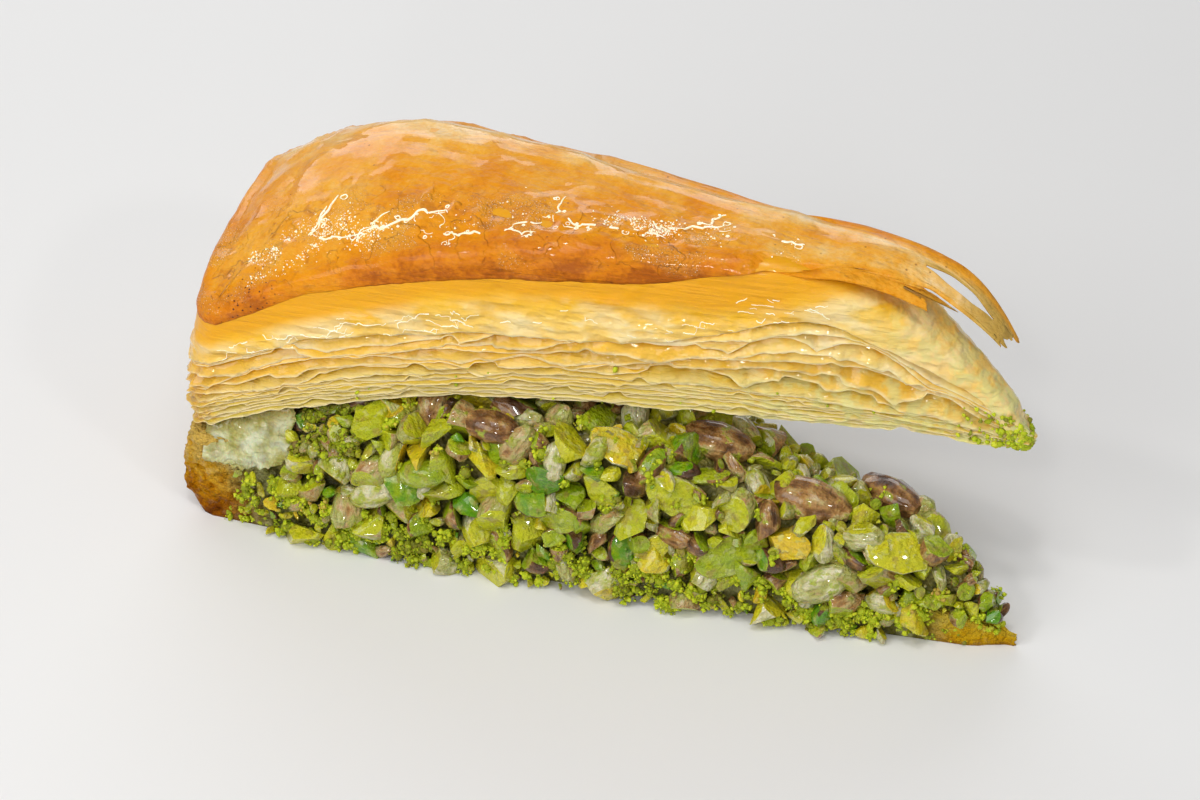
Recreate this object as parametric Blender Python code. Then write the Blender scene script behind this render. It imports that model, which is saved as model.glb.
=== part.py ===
"""A wedge of pistachio baklava, as faceted solids at true size.

The slice is a long triangle from a round tray: the wide end carries the browned rim that stood
against the tray's wall, and the tip is the tray's middle. Three pieces lie on each other:

    base_pastry        the soaked lower filo, flat underneath, with its rim turned up at the wide end
    pistachio_filling  the thick bed of chopped nuts, with crumbs stuck down both cut faces
    pastry_lid         the puffed upper filo, arched over the nuts, its tip torn into three tongues

While it is being modelled, +X runs from the wide end to the tip, -Y is the near cut face and Z is
height above the table, in millimetres. The last step turns that into metres and centres the
slice's box over the origin.
"""

import math

import bmesh
import bpy
from mathutils import Vector, noise

MM = 0.001

# ---- Slice in plan ---------------------------------------------------------------------------
SLICE_LENGTH = 150.0
WIDE_END = 50.0
TIP_WIDTH = 3.4
BASE_BELLY = 2.0  # how far the cut faces of base and filling bow outwards at mid-length
LID_BELLY = 0.8
LID_SWING = 10.0  # sideways drift of the lid's tip away from the base's tip
REST_GAP = 0.35  # clearance between pieces that lie on each other
STATION = 4.0  # spacing of the cross-sections that all three pieces share
END_FACE_INNER = 0.6  # size of the inner outline that rounds a wide-end face

# ---- Base: soaked filo with an upturned rim --------------------------------------------------
BASE_THICK = 7.0
BASE_TIP_THICK = 4.6
RIM_HEIGHT = 19.0
RIM_BACK = 8.0  # the rim keeps its height up to here
RIM_FOOT = 24.0  # and has sunk to the slab's thickness here
RIM_BULGE = 3.4
BASE_CORNER = 4.5
BASE_END = 150.0

# ---- Filling: bed of chopped pistachios ------------------------------------------------------
FILLING_START = 8.0
FILLING_END = 147.0
BED_TOP = 34.4
BED_FALL = 11.5  # the bed sinks this much between its middle and the start of its rounded end
BED_SINKS = (70.0, 124.0)  # where that begins and ends
BED_END_ROUND = 0.7
BED_SLACK = 3.0  # room under the lid at the wide end, gone at WEDGED
WEDGED = 30.0
CRUMB_COAT = 2.0  # crumbs standing out from the base's cut faces
CRUMB_FOOT = 0.9  # height of the coat's lower hem above the table
COAT_START = 8.0
COAT_END = 130.0
COAT_FADE = 6.0  # length over which the coat begins and ends
SHOULDER = 6.0  # rounding of the bed's upper edges
LUMP_SIZE = 7.0
LUMP_DEPTH = 1.1  # fades out where the bed is thinner than LUMP_ROOM, at its tip
LUMP_ROOM = 5.0

# ---- Lid: puffed filo ------------------------------------------------------------------------
LID_END = 148.0
LID_TIP_WIDTH = 3.0
LID_SEAT = RIM_HEIGHT + REST_GAP
SOFFIT = 38.5  # height that the lid's underside rises to
SOFFIT_CURVE = 4
SOFFIT_DROOP = 2.0  # and how far it sags again at the tip
LID_TOP = 70.5
LID_END_TOP = 51.0  # height of the crest at the wide end
CREST_RISE = (60.0, 3.5)  # length over which the crest rises from there, and how roundly
NEAR_TOP = 69.6
NEAR_END_TOP = 44.0
NEAR_RISE = (70.0, 1.3)  # the same for the near edge, which rises more evenly
NOSE_START = 100.0
NOSE_DROP = 31.0  # from the top to the tip, along a parabola
CREST_AT = 0.76  # where the crest lies across the lid, from the near face to the far one
CREST_ROUND = 2.4
FAR_FALL = 6.0  # how far the top drops from the crest to the far face
EDGE_ROUND = 3.0
LID_CORNER = 5.5
END_BULGE = 1.0  # the wide end's lower half stands out over the rim
END_LEAN = 0.24  # the wide end leans inwards as it rises at the near face
FAR_LEAN = -0.2  # and outwards at the far face
LEAN_FROM = 30.0
END_PUFF = 0.8  # the middle of the end face stands out this far
LEAF_RIDGE = 0.45  # relief of the stacked leaves on the cut faces

# ---- Torn tongues of the top leaves ----------------------------------------------------------
TONGUE_THICK = 1.5
TONGUE_START = 98.0
TONGUE_TOP = 71.0
TONGUE_LEVEL = 110.0  # the tongues run level up to here
TONGUE_DROOP = 17.0  # and have come down this far at TONGUE_REACH
TONGUE_REACH = 143.5
TONGUE_CURVE = 4
# name: (share of the reach, place across the lid, width at root and end, height below the arc)
TONGUES = {
    "outer": (1.0, 0.84, (3.8, 3.0), (2.3, 1.2)),
    "middle": (0.99, 0.44, (3.8, 2.4), (2.0, 1.0)),
    "short": (0.9, 0.12, (3.4, 1.6), (2.2, 5.4)),
}

# ---- Colours (red, green, blue), roughness ---------------------------------------------------
FINISHES = {
    "soaked_filo": ((0.62, 0.34, 0.07), 0.35),
    "pistachio": ((0.30, 0.40, 0.05), 0.55),
    "golden_filo": ((0.83, 0.52, 0.14), 0.3),
}


def ease(low, high, x):
    """0 before low, 1 after high, and smooth between them."""
    t = min(max((x - low) / (high - low), 0.0), 1.0)
    return t * t * (3 - 2 * t)


def fading(x, length, power):
    """1 at the wide end and 0 from length on, falling the more roundly the higher the power."""
    return max(1 - x / length, 0.0) ** power


def underside(x):
    """Height of the lid's underside: up off the rim, level, and sagging a little at the tip."""
    rise = (SOFFIT - LID_SEAT) * fading(x, SLICE_LENGTH, SOFFIT_CURVE)
    return SOFFIT - rise - SOFFIT_DROOP * (x / SLICE_LENGTH) ** 12


def nose(x):
    """How far the lid's top has come down at x on its way to the tip."""
    return NOSE_DROP * (max(x - NOSE_START, 0.0) / (LID_END - NOSE_START)) ** 2


def crest(x):
    """Height of the lid's ridge."""
    return LID_TOP - (LID_TOP - LID_END_TOP) * fading(x, *CREST_RISE) - nose(x)


def near_edge(x):
    """Height of the lid's top at the near face."""
    return NEAR_TOP - (NEAR_TOP - NEAR_END_TOP) * fading(x, *NEAR_RISE) - nose(x)


def bed_crest(x):
    """Height of the nuts: wedged under the lid, sinking past its arch, rounded at the tip."""
    begin, stop = BED_SINKS
    t = max(x - stop, 0.0) / (SLICE_LENGTH - stop)
    open_bed = (BED_TOP - BED_FALL * ease(begin, stop, x)) * (1 - t * t) ** BED_END_ROUND
    return min(open_bed, underside(x) - REST_GAP - BED_SLACK * (1 - ease(0, WEDGED, x)))


def tongue_arc(x):
    """Height of the arc that the torn tongues follow."""
    t = max(x - TONGUE_LEVEL, 0.0) / (TONGUE_REACH - TONGUE_LEVEL)
    return TONGUE_TOP - TONGUE_DROOP * t**TONGUE_CURVE


def half_width(x, tip_width, belly):
    """Half the slice's width at x: straight cuts to the tip, bowed a little outwards."""
    straight = WIDE_END / 2 + (tip_width - WIDE_END) / 2 * x / SLICE_LENGTH
    return straight + belly * math.sin(math.pi * x / SLICE_LENGTH)


def corner_inset(x, radius):
    """How far a rounded corner of the wide end stays inside the cut face at x."""
    reach = min(max((radius - x) / radius, 0.0), 1.0)
    return radius * (1 - math.sqrt(1 - reach * reach))


def shrunk(outline, share):
    """The outline drawn in towards its middle, for the inner part of a curved end face."""
    count = len(outline)
    middle_y = sum(y for y, z in outline) / count
    middle_z = sum(z for y, z in outline) / count
    return [(middle_y + (y - middle_y) * share, middle_z + (z - middle_z) * share) for y, z in outline]


def stations(start, end, extra=()):
    """Places along the slice: its shared cross-sections, both ends, and any extra ones."""
    shared = [STATION * i for i in range(math.ceil(SLICE_LENGTH / STATION))]
    return sorted({start, end, *extra, *(x for x in shared if start < x < end)})


def lump(place, size, depth, seed):
    """Soft unevenness of a heap, the same on each run."""
    spot = Vector(place) / size + Vector((seed, 3.7 * seed, 7.1 * seed))
    return depth * noise.noise(spot)


# ---- Meshes ----------------------------------------------------------------------------------
def loft(name, rings, finish):
    """A closed solid through rings of points, each ring running the same way round."""
    mesh = bpy.data.meshes.new(name)
    work = bmesh.new()
    loops = [[work.verts.new(point) for point in ring] for ring in rings]
    size = len(rings[0])
    for first, second in zip(loops, loops[1:]):
        for i in range(size):
            j = (i + 1) % size
            work.faces.new((first[i], first[j], second[j], second[i]))
    for loop in (loops[0], loops[-1]):
        middle = work.verts.new(sum((v.co for v in loop), Vector()) / size)
        for i in range(size):
            work.faces.new((loop[i], loop[(i + 1) % size], middle))
    bmesh.ops.recalc_face_normals(work, faces=work.faces)
    work.to_mesh(mesh)
    work.free()
    mesh.shade_smooth()
    mesh.set_sharp_from_angle(angle=math.radians(40))
    made = bpy.data.objects.new(name, mesh)
    made.data.materials.append(material(finish))
    bpy.context.scene.collection.objects.link(made)
    return made


def material(name):
    """The named finish as a Principled material, made once."""
    if name in bpy.data.materials:
        return bpy.data.materials[name]
    (red, green, blue), rough = FINISHES[name]
    made = bpy.data.materials.new(name)
    made.use_nodes = True
    shader = made.node_tree.nodes["Principled BSDF"]
    shader.inputs["Base Color"].default_value = (red, green, blue, 1)
    shader.inputs["Roughness"].default_value = rough
    shader.inputs["Metallic"].default_value = 0.0
    return made


# ---- Base ------------------------------------------------------------------------------------
def base_top(x):
    """Height of the lower filo: a rim at the wide end, then an even slab that thins at the tip."""
    slab = BASE_THICK + (BASE_TIP_THICK - BASE_THICK) * ease(132, BASE_END, x)
    return slab + (RIM_HEIGHT - slab) * (1 - ease(RIM_BACK, RIM_FOOT, x))


def base_outline(x):
    """The base's outline at x, as points across and up."""
    half = half_width(x, TIP_WIDTH, BASE_BELLY) - corner_inset(x, BASE_CORNER)
    half *= 1 - 0.8 * ease(BASE_END - 6, BASE_END, x)
    top = base_top(x)
    across, up = 6, 5
    lower = [(-half + 2 * half * i / across, 0.0) for i in range(across + 1)]
    far = [(half, top * i / up) for i in range(1, up)]
    upper = [(half - 2 * half * i / across, top) for i in range(across + 1)]
    near = [(-half, top * (1 - i / up)) for i in range(1, up)]
    return lower + far + upper + near


def base_ring(x, outline):
    """The outline stood at x, with the rim's outer face bulging."""
    bulge = RIM_BULGE * (1 - ease(0, RIM_BACK, x))
    return [(x - bulge * math.sin(math.pi * (z / RIM_HEIGHT) ** 0.7) ** 0.8, y, z) for y, z in outline]


def make_base():
    places = stations(0.0, BASE_END, extra=(0.9, 2.2, 146, 149))
    rings = [base_ring(x, base_outline(x)) for x in places]
    inner = shrunk(base_outline(0.0), END_FACE_INNER)
    return loft("base_pastry", [base_ring(0.0, inner), *rings], "soaked_filo")


# ---- Filling ---------------------------------------------------------------------------------
def filling_ring(x):
    """The bed over the slab, with thin legs of crumbs down both cut faces."""
    half = half_width(x, TIP_WIDTH, BASE_BELLY)
    floor = base_top(x) + REST_GAP
    peak = bed_crest(x)
    begun = ease(COAT_START, COAT_START + COAT_FADE, x)
    coated = begun * (1 - ease(COAT_END, COAT_END + COAT_FADE, x))
    hem = floor + (CRUMB_FOOT - floor) * coated
    end_taper = 1.0 - 0.45 * ease(FILLING_END - 8, FILLING_END, x)
    outer = (half + 0.8 + CRUMB_COAT * coated) * end_taper
    inner = min(half + REST_GAP, outer - 0.3)
    shoulder = min(SHOULDER, 0.45 * outer, 0.6 * (peak - floor))
    depth = LUMP_DEPTH * ease(0, LUMP_ROOM, peak - floor)

    def flank(side):
        """Points up one side, from the hem to the shoulder, with lumps."""
        found = []
        levels = 6
        for i in range(levels + 1):
            t = i / levels
            z = hem + (peak - shoulder - hem) * t
            lean = outer - 1.6 * t * t * ease(0, 20, peak - floor)
            bump = lump((x, 40 * side, z), LUMP_SIZE, depth, 1.3) * min(4 * t, 1.0)
            found.append((side * (lean + bump), z))
        return found

    def crown():
        """Points over the top, from the near shoulder to the far one."""
        found = []
        steps = 8
        near_y = -(outer - 1.6 * ease(0, 20, peak - floor))
        for i in range(1, steps):
            t = i / steps
            y = near_y * math.cos(math.pi * t)
            rise = math.sin(math.pi * t) ** 0.6
            bump = lump((x, y, 50), LUMP_SIZE, depth, 2.9) * rise
            z = peak - shoulder + shoulder * rise + bump - depth * 0.5
            found.append((y, min(z, underside(x) - REST_GAP)))
        return found

    outline = [(-inner, floor), (inner, floor), (inner, hem - 0.01)]
    outline += flank(1) + list(reversed(crown())) + list(reversed(flank(-1)))
    outline += [(-inner, hem - 0.01)]
    return [(x, y, z) for y, z in outline]


def make_filling():
    places = stations(FILLING_START, FILLING_END)
    return loft("pistachio_filling", [filling_ring(x) for x in places], "pistachio")


# ---- Lid -------------------------------------------------------------------------------------
def lid_limits(x):
    """The lid's near and far faces at x. The lid is swung round its wide end."""
    half = half_width(x, LID_TIP_WIDTH, LID_BELLY) - corner_inset(x, LID_CORNER)
    middle = LID_SWING * x / SLICE_LENGTH
    return middle - half, middle + half


def lid_top(x, share):
    """Height of the lid at x, share of the way from the near face to the far one."""
    ridge = crest(x)
    if share < CREST_AT:
        return ridge - (ridge - near_edge(x)) * ((CREST_AT - share) / CREST_AT) ** CREST_ROUND
    fall = min(FAR_FALL, 0.3 * (ridge - underside(x)))
    return ridge - fall * ((share - CREST_AT) / (1 - CREST_AT)) ** 2


def lid_outline(x):
    """The lid's outline at x, as points across and up."""
    near, far = lid_limits(x)
    width = far - near
    under = underside(x)
    rounding = min(EDGE_ROUND, 0.3 * width, 0.3 * (lid_top(x, 0.1) - under))
    across, leaves, top_steps, turn = 5, 10, 9, 2

    def cut_face(y, outwards, top):
        """Points up a cut face, its leaves standing out by turns."""
        ridge = LEAF_RIDGE * ease(0, 12, width)
        return [
            (y + outwards * ridge * (i % 2), under + (top - under) * i / leaves)
            for i in range(1, leaves + 1)
        ]

    def shoulder(y, inwards, top):
        """Points round the edge from a cut face to the top."""
        angles = [math.pi / 2 * i / (turn + 1) for i in range(1, turn + 1)]
        return [
            (y + inwards * rounding * (1 - math.cos(a)), top + rounding * math.sin(a))
            for a in angles
        ]

    near_top = lid_top(x, rounding / width) - rounding
    far_top = lid_top(x, 1 - rounding / width) - rounding
    outline = [(near + width * i / across, under) for i in range(across + 1)]
    outline += cut_face(far, 1, far_top) + shoulder(far, -1, far_top)
    inner = width - 2 * rounding
    for i in range(top_steps + 1):
        y = far - rounding - inner * i / top_steps
        outline.append((y, lid_top(x, (y - near) / width)))
    outline += list(reversed(shoulder(near, 1, near_top)))
    outline += list(reversed(cut_face(near, -1, near_top)))
    return outline


def lid_ring(x, outline):
    return [(x + end_shift(x, y, z), y, z) for y, z in outline]


def end_shift(x, y, z):
    """How far a point of the lid moves along the slice, to shape the wide end. Fades by mid-lid."""
    share = min(max(y / WIDE_END + 0.5, 0), 1)
    lean = (END_LEAN + (FAR_LEAN - END_LEAN) * share) * max(z - LEAN_FROM, 0)
    return (lean - END_BULGE * ease(19.5, 23, z)) * (1 - ease(0, 26, x))


def make_lid():
    places = stations(0.0, LID_END, extra=(0.6, 2.0, 6.0, 146))
    rings = [lid_ring(x, lid_outline(x)) for x in places]
    inner = lid_ring(-END_PUFF, shrunk(lid_outline(0.0), END_FACE_INNER))
    lid = loft("pastry_lid", [inner, *rings], "golden_filo")
    for name, shape in TONGUES.items():
        join(lid, make_tongue(name, *shape))
    return lid


def make_tongue(name, reach, share, widths, drops):
    """One torn tongue: a thin strip that leaves the crest and droops past the tip."""
    rings = []
    steps = 13
    end = TONGUE_REACH * reach
    for i in range(steps + 1):
        t = i / steps
        x = TONGUE_START + (end - TONGUE_START) * t
        near, far = lid_limits(min(x, 128.0))
        y = near + (far - near) * share
        z = tongue_arc(x) - (drops[0] + (drops[1] - drops[0]) * t * t)
        half = (widths[0] + (widths[1] - widths[0]) * t) / 2
        half *= 1 - 0.5 * ease(0.88, 1.0, t)
        slope = tongue_arc(x + 0.5) - tongue_arc(x - 0.5)
        along = Vector((1.0, 0.0, slope)).normalized()
        out = Vector((-along.z, 0.0, along.x)) * TONGUE_THICK
        tilt = Vector((0.0, 1.0, 0.25))
        top = Vector((x, y, z))
        rings.append(
            [top - tilt * half, top + tilt * half, top + tilt * half - out, top - tilt * half - out]
        )
    return loft("tongue_" + name, rings, "golden_filo")


def join(body, extra):
    """Unites extra with body and drops the leftover object."""
    union = body.modifiers.new("join_" + extra.name, "BOOLEAN")
    union.operation = "UNION"
    union.object = extra
    graph = bpy.context.evaluated_depsgraph_get()
    united = bpy.data.meshes.new_from_object(body.evaluated_get(graph))
    body.modifiers.remove(union)
    body.data = united
    bpy.data.objects.remove(extra)


# ---- Placing ---------------------------------------------------------------------------------
def place_on_origin(pieces):
    """Scales millimetres to metres and centres the slice's box over the origin, standing on z 0."""
    corners = [v.co for piece in pieces for v in piece.data.vertices]
    low = Vector([min(c[k] for c in corners) for k in range(3)])
    high = Vector([max(c[k] for c in corners) for k in range(3)])
    shift = Vector(((low.x + high.x) / 2, (low.y + high.y) / 2, low.z))
    for piece in pieces:
        for vertex in piece.data.vertices:
            vertex.co = (vertex.co - shift) * MM


def main():
    for left in list(bpy.data.objects):
        bpy.data.objects.remove(left)
    slice_frame = bpy.data.objects.new("baklava_slice", None)
    bpy.context.scene.collection.objects.link(slice_frame)
    pieces = [make_base(), make_filling(), make_lid()]
    place_on_origin(pieces)
    for piece in pieces:
        piece.parent = slice_frame


main()
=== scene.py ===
"""Looks for a long wedge of pistachio baklava.

Everything is modelled in the slice's own frame, in millimetres: +X runs from the wide end to the
tip, -Y is the near cut face and Z is height above the table. Each piece is turned into metres and
moved over the part's frame as its mesh is made.
"""

import math

import bpy
import numpy as np
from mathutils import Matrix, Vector


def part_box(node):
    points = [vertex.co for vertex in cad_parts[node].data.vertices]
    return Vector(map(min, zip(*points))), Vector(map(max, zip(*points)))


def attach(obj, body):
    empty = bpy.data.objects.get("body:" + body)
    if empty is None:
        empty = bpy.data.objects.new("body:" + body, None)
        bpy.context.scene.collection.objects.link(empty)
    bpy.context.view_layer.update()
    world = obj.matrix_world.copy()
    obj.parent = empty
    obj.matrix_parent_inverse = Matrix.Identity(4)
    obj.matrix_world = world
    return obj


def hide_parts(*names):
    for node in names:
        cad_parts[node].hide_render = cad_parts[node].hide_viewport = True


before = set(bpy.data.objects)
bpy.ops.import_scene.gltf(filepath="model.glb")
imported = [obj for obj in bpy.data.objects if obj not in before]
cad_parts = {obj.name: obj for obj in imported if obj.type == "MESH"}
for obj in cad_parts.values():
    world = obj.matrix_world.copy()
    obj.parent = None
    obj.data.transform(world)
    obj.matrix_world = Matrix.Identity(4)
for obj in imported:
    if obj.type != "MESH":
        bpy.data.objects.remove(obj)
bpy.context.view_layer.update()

MM = 0.001
base_low, base_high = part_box("base_pastry")

# ---- The slice's measures --------------------------------------------------------------------
SLICE_LENGTH = 150.0
WIDE_END = 50.0
FOOT = np.array([base_high.x / MM - SLICE_LENGTH, (base_low.y + base_high.y) / 2 / MM, 0.0])

BASE_THICK = 7.0
BASE_TIP_THICK = 4.6
RIM_HEIGHT = base_high.z / MM
RIM_BACK, RIM_FOOT = 8.0, 24.0
TIP_WIDTH = 3.4
BASE_BELLY = 2.0

BED_TOP = 34.4
BED_FALL = 11.5
BED_SINKS = (70.0, 124.0)
BED_END_ROUND = 0.7

LID_END = 148.0
LID_TIP_WIDTH = 3.0
LID_BELLY = 0.8
LID_SWING = 10.0
LID_CORNER = 5.5
LID_SEAT = RIM_HEIGHT + 0.35
SOFFIT, SOFFIT_CURVE, SOFFIT_DROOP = 38.5, 4, 2.0
LID_TOP, LID_END_TOP = 70.5, 50.6
CREST_RISE = (60.0, 3.5)
NEAR_TOP, NEAR_END_TOP = 69.6, 44.0
NEAR_RISE = (70.0, 1.3)
NOSE_START, NOSE_DROP = 100.0, 31.0
CREST_AT = 0.76
CREST_ROUND = 2.4
FAR_FALL = 6.0
EDGE_ROUND = 3.0
SPINE_START = 24.0

# The torn tongues lift off the lid, run level, and then droop to their ends.
LIFT_FROM, LIFT_TO = 98.0, 114.0
TONGUE_TOP = 70.6
TONGUE_ARCH = 5.3  # how far the tongues lie lower towards both faces of the lid
TONGUE_LEVEL, TONGUE_REACH = 110.0, 143.5
TONGUE_DROOP = 16.0
# where each gap between tongues opens and closes again, by its place across the lid
TONGUE_GAPS = ((0.17, 124.0, 160.0), (0.56, 126.0, 138.0))
SHORT_TONGUE, LONG_TONGUE = 129.0, 141.0


# ---- Curves and unevenness -------------------------------------------------------------------
def along(points, x):
    """The smooth curve through (place, value) points, read at x, level beyond both ends."""
    place, value = np.array(points, float).T
    last = len(place) - 1
    x = np.clip(x, place[0], place[-1])
    after = np.minimum(np.arange(last + 1) + 1, last)
    before = np.maximum(np.arange(last + 1) - 1, 0)
    slope = (value[after] - value[before]) / (place[after] - place[before])
    k = np.clip(np.searchsorted(place, x, side="right") - 1, 0, last - 1)
    span = place[k + 1] - place[k]
    t = (x - place[k]) / span
    return (
        value[k] * (1 + 2 * t) * (1 - t) ** 2
        + value[k + 1] * t * t * (3 - 2 * t)
        + slope[k] * span * t * (1 - t) ** 2
        - slope[k + 1] * span * t * t * (1 - t)
    )


def ease(low, high, x):
    """0 below low, 1 above high, and smooth between them."""
    t = np.clip((x - low) / (high - low), 0.0, 1.0)
    return t * t * (3 - 2 * t)


def waves(a, b=0.0, c=0.0, seed=0):
    """Soft random unevenness between -1 and 1, with features about one unit across."""
    spot = np.stack(np.broadcast_arrays(a, b, c), -1).astype(float) + 17.31 * seed
    cell = np.floor(spot).astype(np.int64)
    part = spot - cell
    part = part * part * (3 - 2 * part)
    total = 0.0
    for corner in np.ndindex(2, 2, 2):
        at = cell + corner
        mixed = at[..., 0] * 374761393 + at[..., 1] * 668265263 + at[..., 2] * 2147483647 + seed
        mixed = (mixed ^ (mixed >> 13)) * 1274126177 & 0x7FFFFFFF
        mixed = (mixed ^ (mixed >> 16)) & 0xFFFF
        weight = np.prod(np.where(np.array(corner) == 1, part, 1 - part), -1)
        total = total + weight * (mixed / 32767.5 - 1)
    return total


def rough(a, b=0.0, c=0.0, seed=0, octaves=3):
    """Unevenness with finer detail on top of it."""
    return sum(
        waves(a * 2**k, b * 2**k, c * 2**k, seed + k) / 2**k for k in range(octaves)
    ) / 1.6


# ---- Shape of the slice ----------------------------------------------------------------------
def fading(x, length, power):
    """1 at the wide end and 0 from length on, falling the more roundly the higher the power."""
    return np.maximum(1 - x / length, 0.0) ** power


def underside(x):
    """Height of the lid's underside: up off the rim, level, and sagging a little at the tip."""
    rise = (SOFFIT - LID_SEAT) * fading(x, SLICE_LENGTH, SOFFIT_CURVE)
    return SOFFIT - rise - SOFFIT_DROOP * (x / SLICE_LENGTH) ** 12


def lid_nose(x):
    """How far the lid's top has come down at x on its way to the tip."""
    return NOSE_DROP * (np.maximum(x - NOSE_START, 0.0) / (LID_END - NOSE_START)) ** 2


def lid_crest(x):
    """Height of the lid's ridge."""
    return LID_TOP - (LID_TOP - LID_END_TOP) * fading(x, *CREST_RISE) - lid_nose(x)


def near_edge(x):
    """Height of the lid's top at the near face."""
    return NEAR_TOP - (NEAR_TOP - NEAR_END_TOP) * fading(x, *NEAR_RISE) - lid_nose(x)


def bed_crest(x):
    """Height of the nuts where nothing lies on them, sinking past the arch, rounded at the tip."""
    begin, stop = BED_SINKS
    t = np.clip((x - stop) / (SLICE_LENGTH - stop), 0, 1)
    return (BED_TOP - BED_FALL * ease(begin, stop, x)) * (1 - t * t) ** BED_END_ROUND


def half_width(x, tip_width, belly):
    straight = WIDE_END / 2 + (tip_width - WIDE_END) / 2 * x / SLICE_LENGTH
    return straight + belly * np.sin(np.pi * np.clip(x / SLICE_LENGTH, 0, 1))


def lid_sides(x):
    """The lid's near and far faces at x, the wide end's round corners left square."""
    half = half_width(x, LID_TIP_WIDTH, LID_BELLY)
    middle = LID_SWING * x / SLICE_LENGTH
    return middle - half, middle + half


def lid_top(x, share):
    """Height of the lid at x, share of the way from the near face to the far one."""
    crest, edge, under = lid_crest(x), near_edge(x), underside(x)
    near = crest - (crest - edge) * (np.maximum(CREST_AT - share, 0) / CREST_AT) ** CREST_ROUND
    fall = np.minimum(FAR_FALL, 0.3 * (crest - under))
    return near - fall * (np.maximum(share - CREST_AT, 0) / (1 - CREST_AT)) ** 2


def end_shift(x, y, z):
    """How far a point of the lid moves along the slice, to shape the wide end."""
    share = np.clip(y / WIDE_END + 0.5, 0, 1)
    lean = (0.24 - 0.72 * share + 0.5 * share**2) * np.maximum(z - 30, 0)
    return (lean - 1.0 * ease(19.5, 23, z)) * (1 - ease(0, 26, x))


def base_top(x):
    slab = BASE_THICK + (BASE_TIP_THICK - BASE_THICK) * ease(132, 150, x)
    return slab + (RIM_HEIGHT - slab) * (1 - ease(RIM_BACK, RIM_FOOT, x))


class Edge:
    """Columns round the lid's outline, from the tip along the near face and back to the tip."""

    def __init__(self, stations, corner=24, wall=90):
        nose = 145.5 + 2.5 * np.sin(np.linspace(np.pi / 2, 0, 14)[:-1])
        x = np.concatenate([nose, np.linspace(145.5, LID_CORNER, stations)])
        near, far = lid_sides(x)
        middle, half = (near + far) / 2, (far - near) / 2
        half = half * np.sqrt(np.clip(1 - (np.maximum(x - 145.5, 0) / 2.5) ** 2, 0, 1))
        near, far = middle - half, middle + half
        turn = np.linspace(0, np.pi / 2, corner)[1:]
        inset, drop = LID_CORNER * (1 - np.sin(turn)), LID_CORNER * (1 - np.cos(turn))
        low, high = near[-1], far[-1]
        across = np.linspace(low + LID_CORNER, high - LID_CORNER, wall)[1:-1]
        path = np.concatenate([
            np.stack([x, near], 1),
            np.stack([inset, low + drop], 1),
            np.stack([0 * across, across], 1),
            np.stack([inset, high - drop], 1)[::-1],
            np.stack([x, far], 1)[::-1],
        ])
        self.x, self.y = path.T
        step = np.linalg.norm(np.diff(path, axis=0), axis=1)
        self.run = np.concatenate([[0], np.cumsum(step)])
        ahead = np.gradient(path, axis=0)
        ahead /= np.linalg.norm(ahead, axis=1)[:, None]
        self.out_x, self.out_y = -ahead[:, 1], ahead[:, 0]
        low, high = lid_sides(self.x)
        self.width = (high - low) * np.sqrt(
            np.clip(1 - (np.maximum(self.x - 145.5, 0) / 2.5) ** 2, 0, 1))
        self.round = np.minimum(EDGE_ROUND, 0.3 * self.width)
        self.in_x = self.x - self.out_x * self.round
        self.in_y = self.y - self.out_y * self.round
        self.under = underside(self.x)
        low, high = lid_sides(self.in_x)
        self.share = np.clip((self.in_y - low) / (high - low), 0, 1)
        self.top = lid_top(self.in_x, self.share)
        self.narrow = ease(2, 12, self.width)


def torn_tip(points):
    """Frays the last few millimetres of the lid's tip."""
    x, y, z = (points[..., k] for k in range(3))
    fray = ease(142.5, 147.5, x) * (0.9 + rough(y / 1.3, z / 0.9, seed=35))
    side = ease(140, 147, x) * 0.35 * waves(x / 1.6, z / 1.3, seed=36)
    return np.stack([x - 1.3 * fray, y + side, z + 0.3 * side], -1)


def at_edge(edge, out, z):
    """Points a distance outside the edge at height z. Both may be a table of columns by rows."""
    pick = (slice(None), None) if np.ndim(z) == 2 else slice(None)
    x, y = edge.x[pick], edge.y[pick]
    shift = end_shift(x, y, z)
    return np.stack([x + edge.out_x[pick] * out + shift, y + edge.out_y[pick] * out, z], -1)


# ---- Making meshes ---------------------------------------------------------------------------
def add_piece(name, points, faces, finish, node, values=None, sharp=None, face_slots=None):
    """A piece from points in the slice's frame. Faces all have the same number of corners."""
    mesh = bpy.data.meshes.new(name)
    places = (np.asarray(points).reshape(-1, 3) + FOOT) * MM
    faces = np.asarray(faces, np.int32)
    mesh.vertices.add(len(places))
    mesh.vertices.foreach_set("co", places.ravel())
    mesh.loops.add(faces.size)
    mesh.loops.foreach_set("vertex_index", faces.ravel())
    mesh.polygons.add(len(faces))
    mesh.polygons.foreach_set("loop_start", np.arange(0, faces.size, faces.shape[1], dtype=np.int32))
    if face_slots is not None:
        mesh.polygons.foreach_set("material_index", np.asarray(face_slots, np.int32))
    for key, value in (values or {}).items():
        kept = mesh.attributes.new(key, "FLOAT", "POINT")
        kept.data.foreach_set("value", np.asarray(value, np.float32).ravel())
    mesh.update(calc_edges=True)
    made = bpy.data.objects.new(name, mesh)
    bpy.context.scene.collection.objects.link(made)
    for one in finish if isinstance(finish, (list, tuple)) else [finish]:
        mesh.materials.append(one)
    mesh.shade_smooth()
    if sharp:
        mesh.set_sharp_from_angle(angle=math.radians(sharp))
    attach(made, "root")
    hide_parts(node)
    return made


def pick(made):
    """Selects one object alone and makes it the active one."""
    bpy.ops.object.select_all(action="DESELECT")
    made.select_set(True)
    bpy.context.view_layer.objects.active = made


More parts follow.
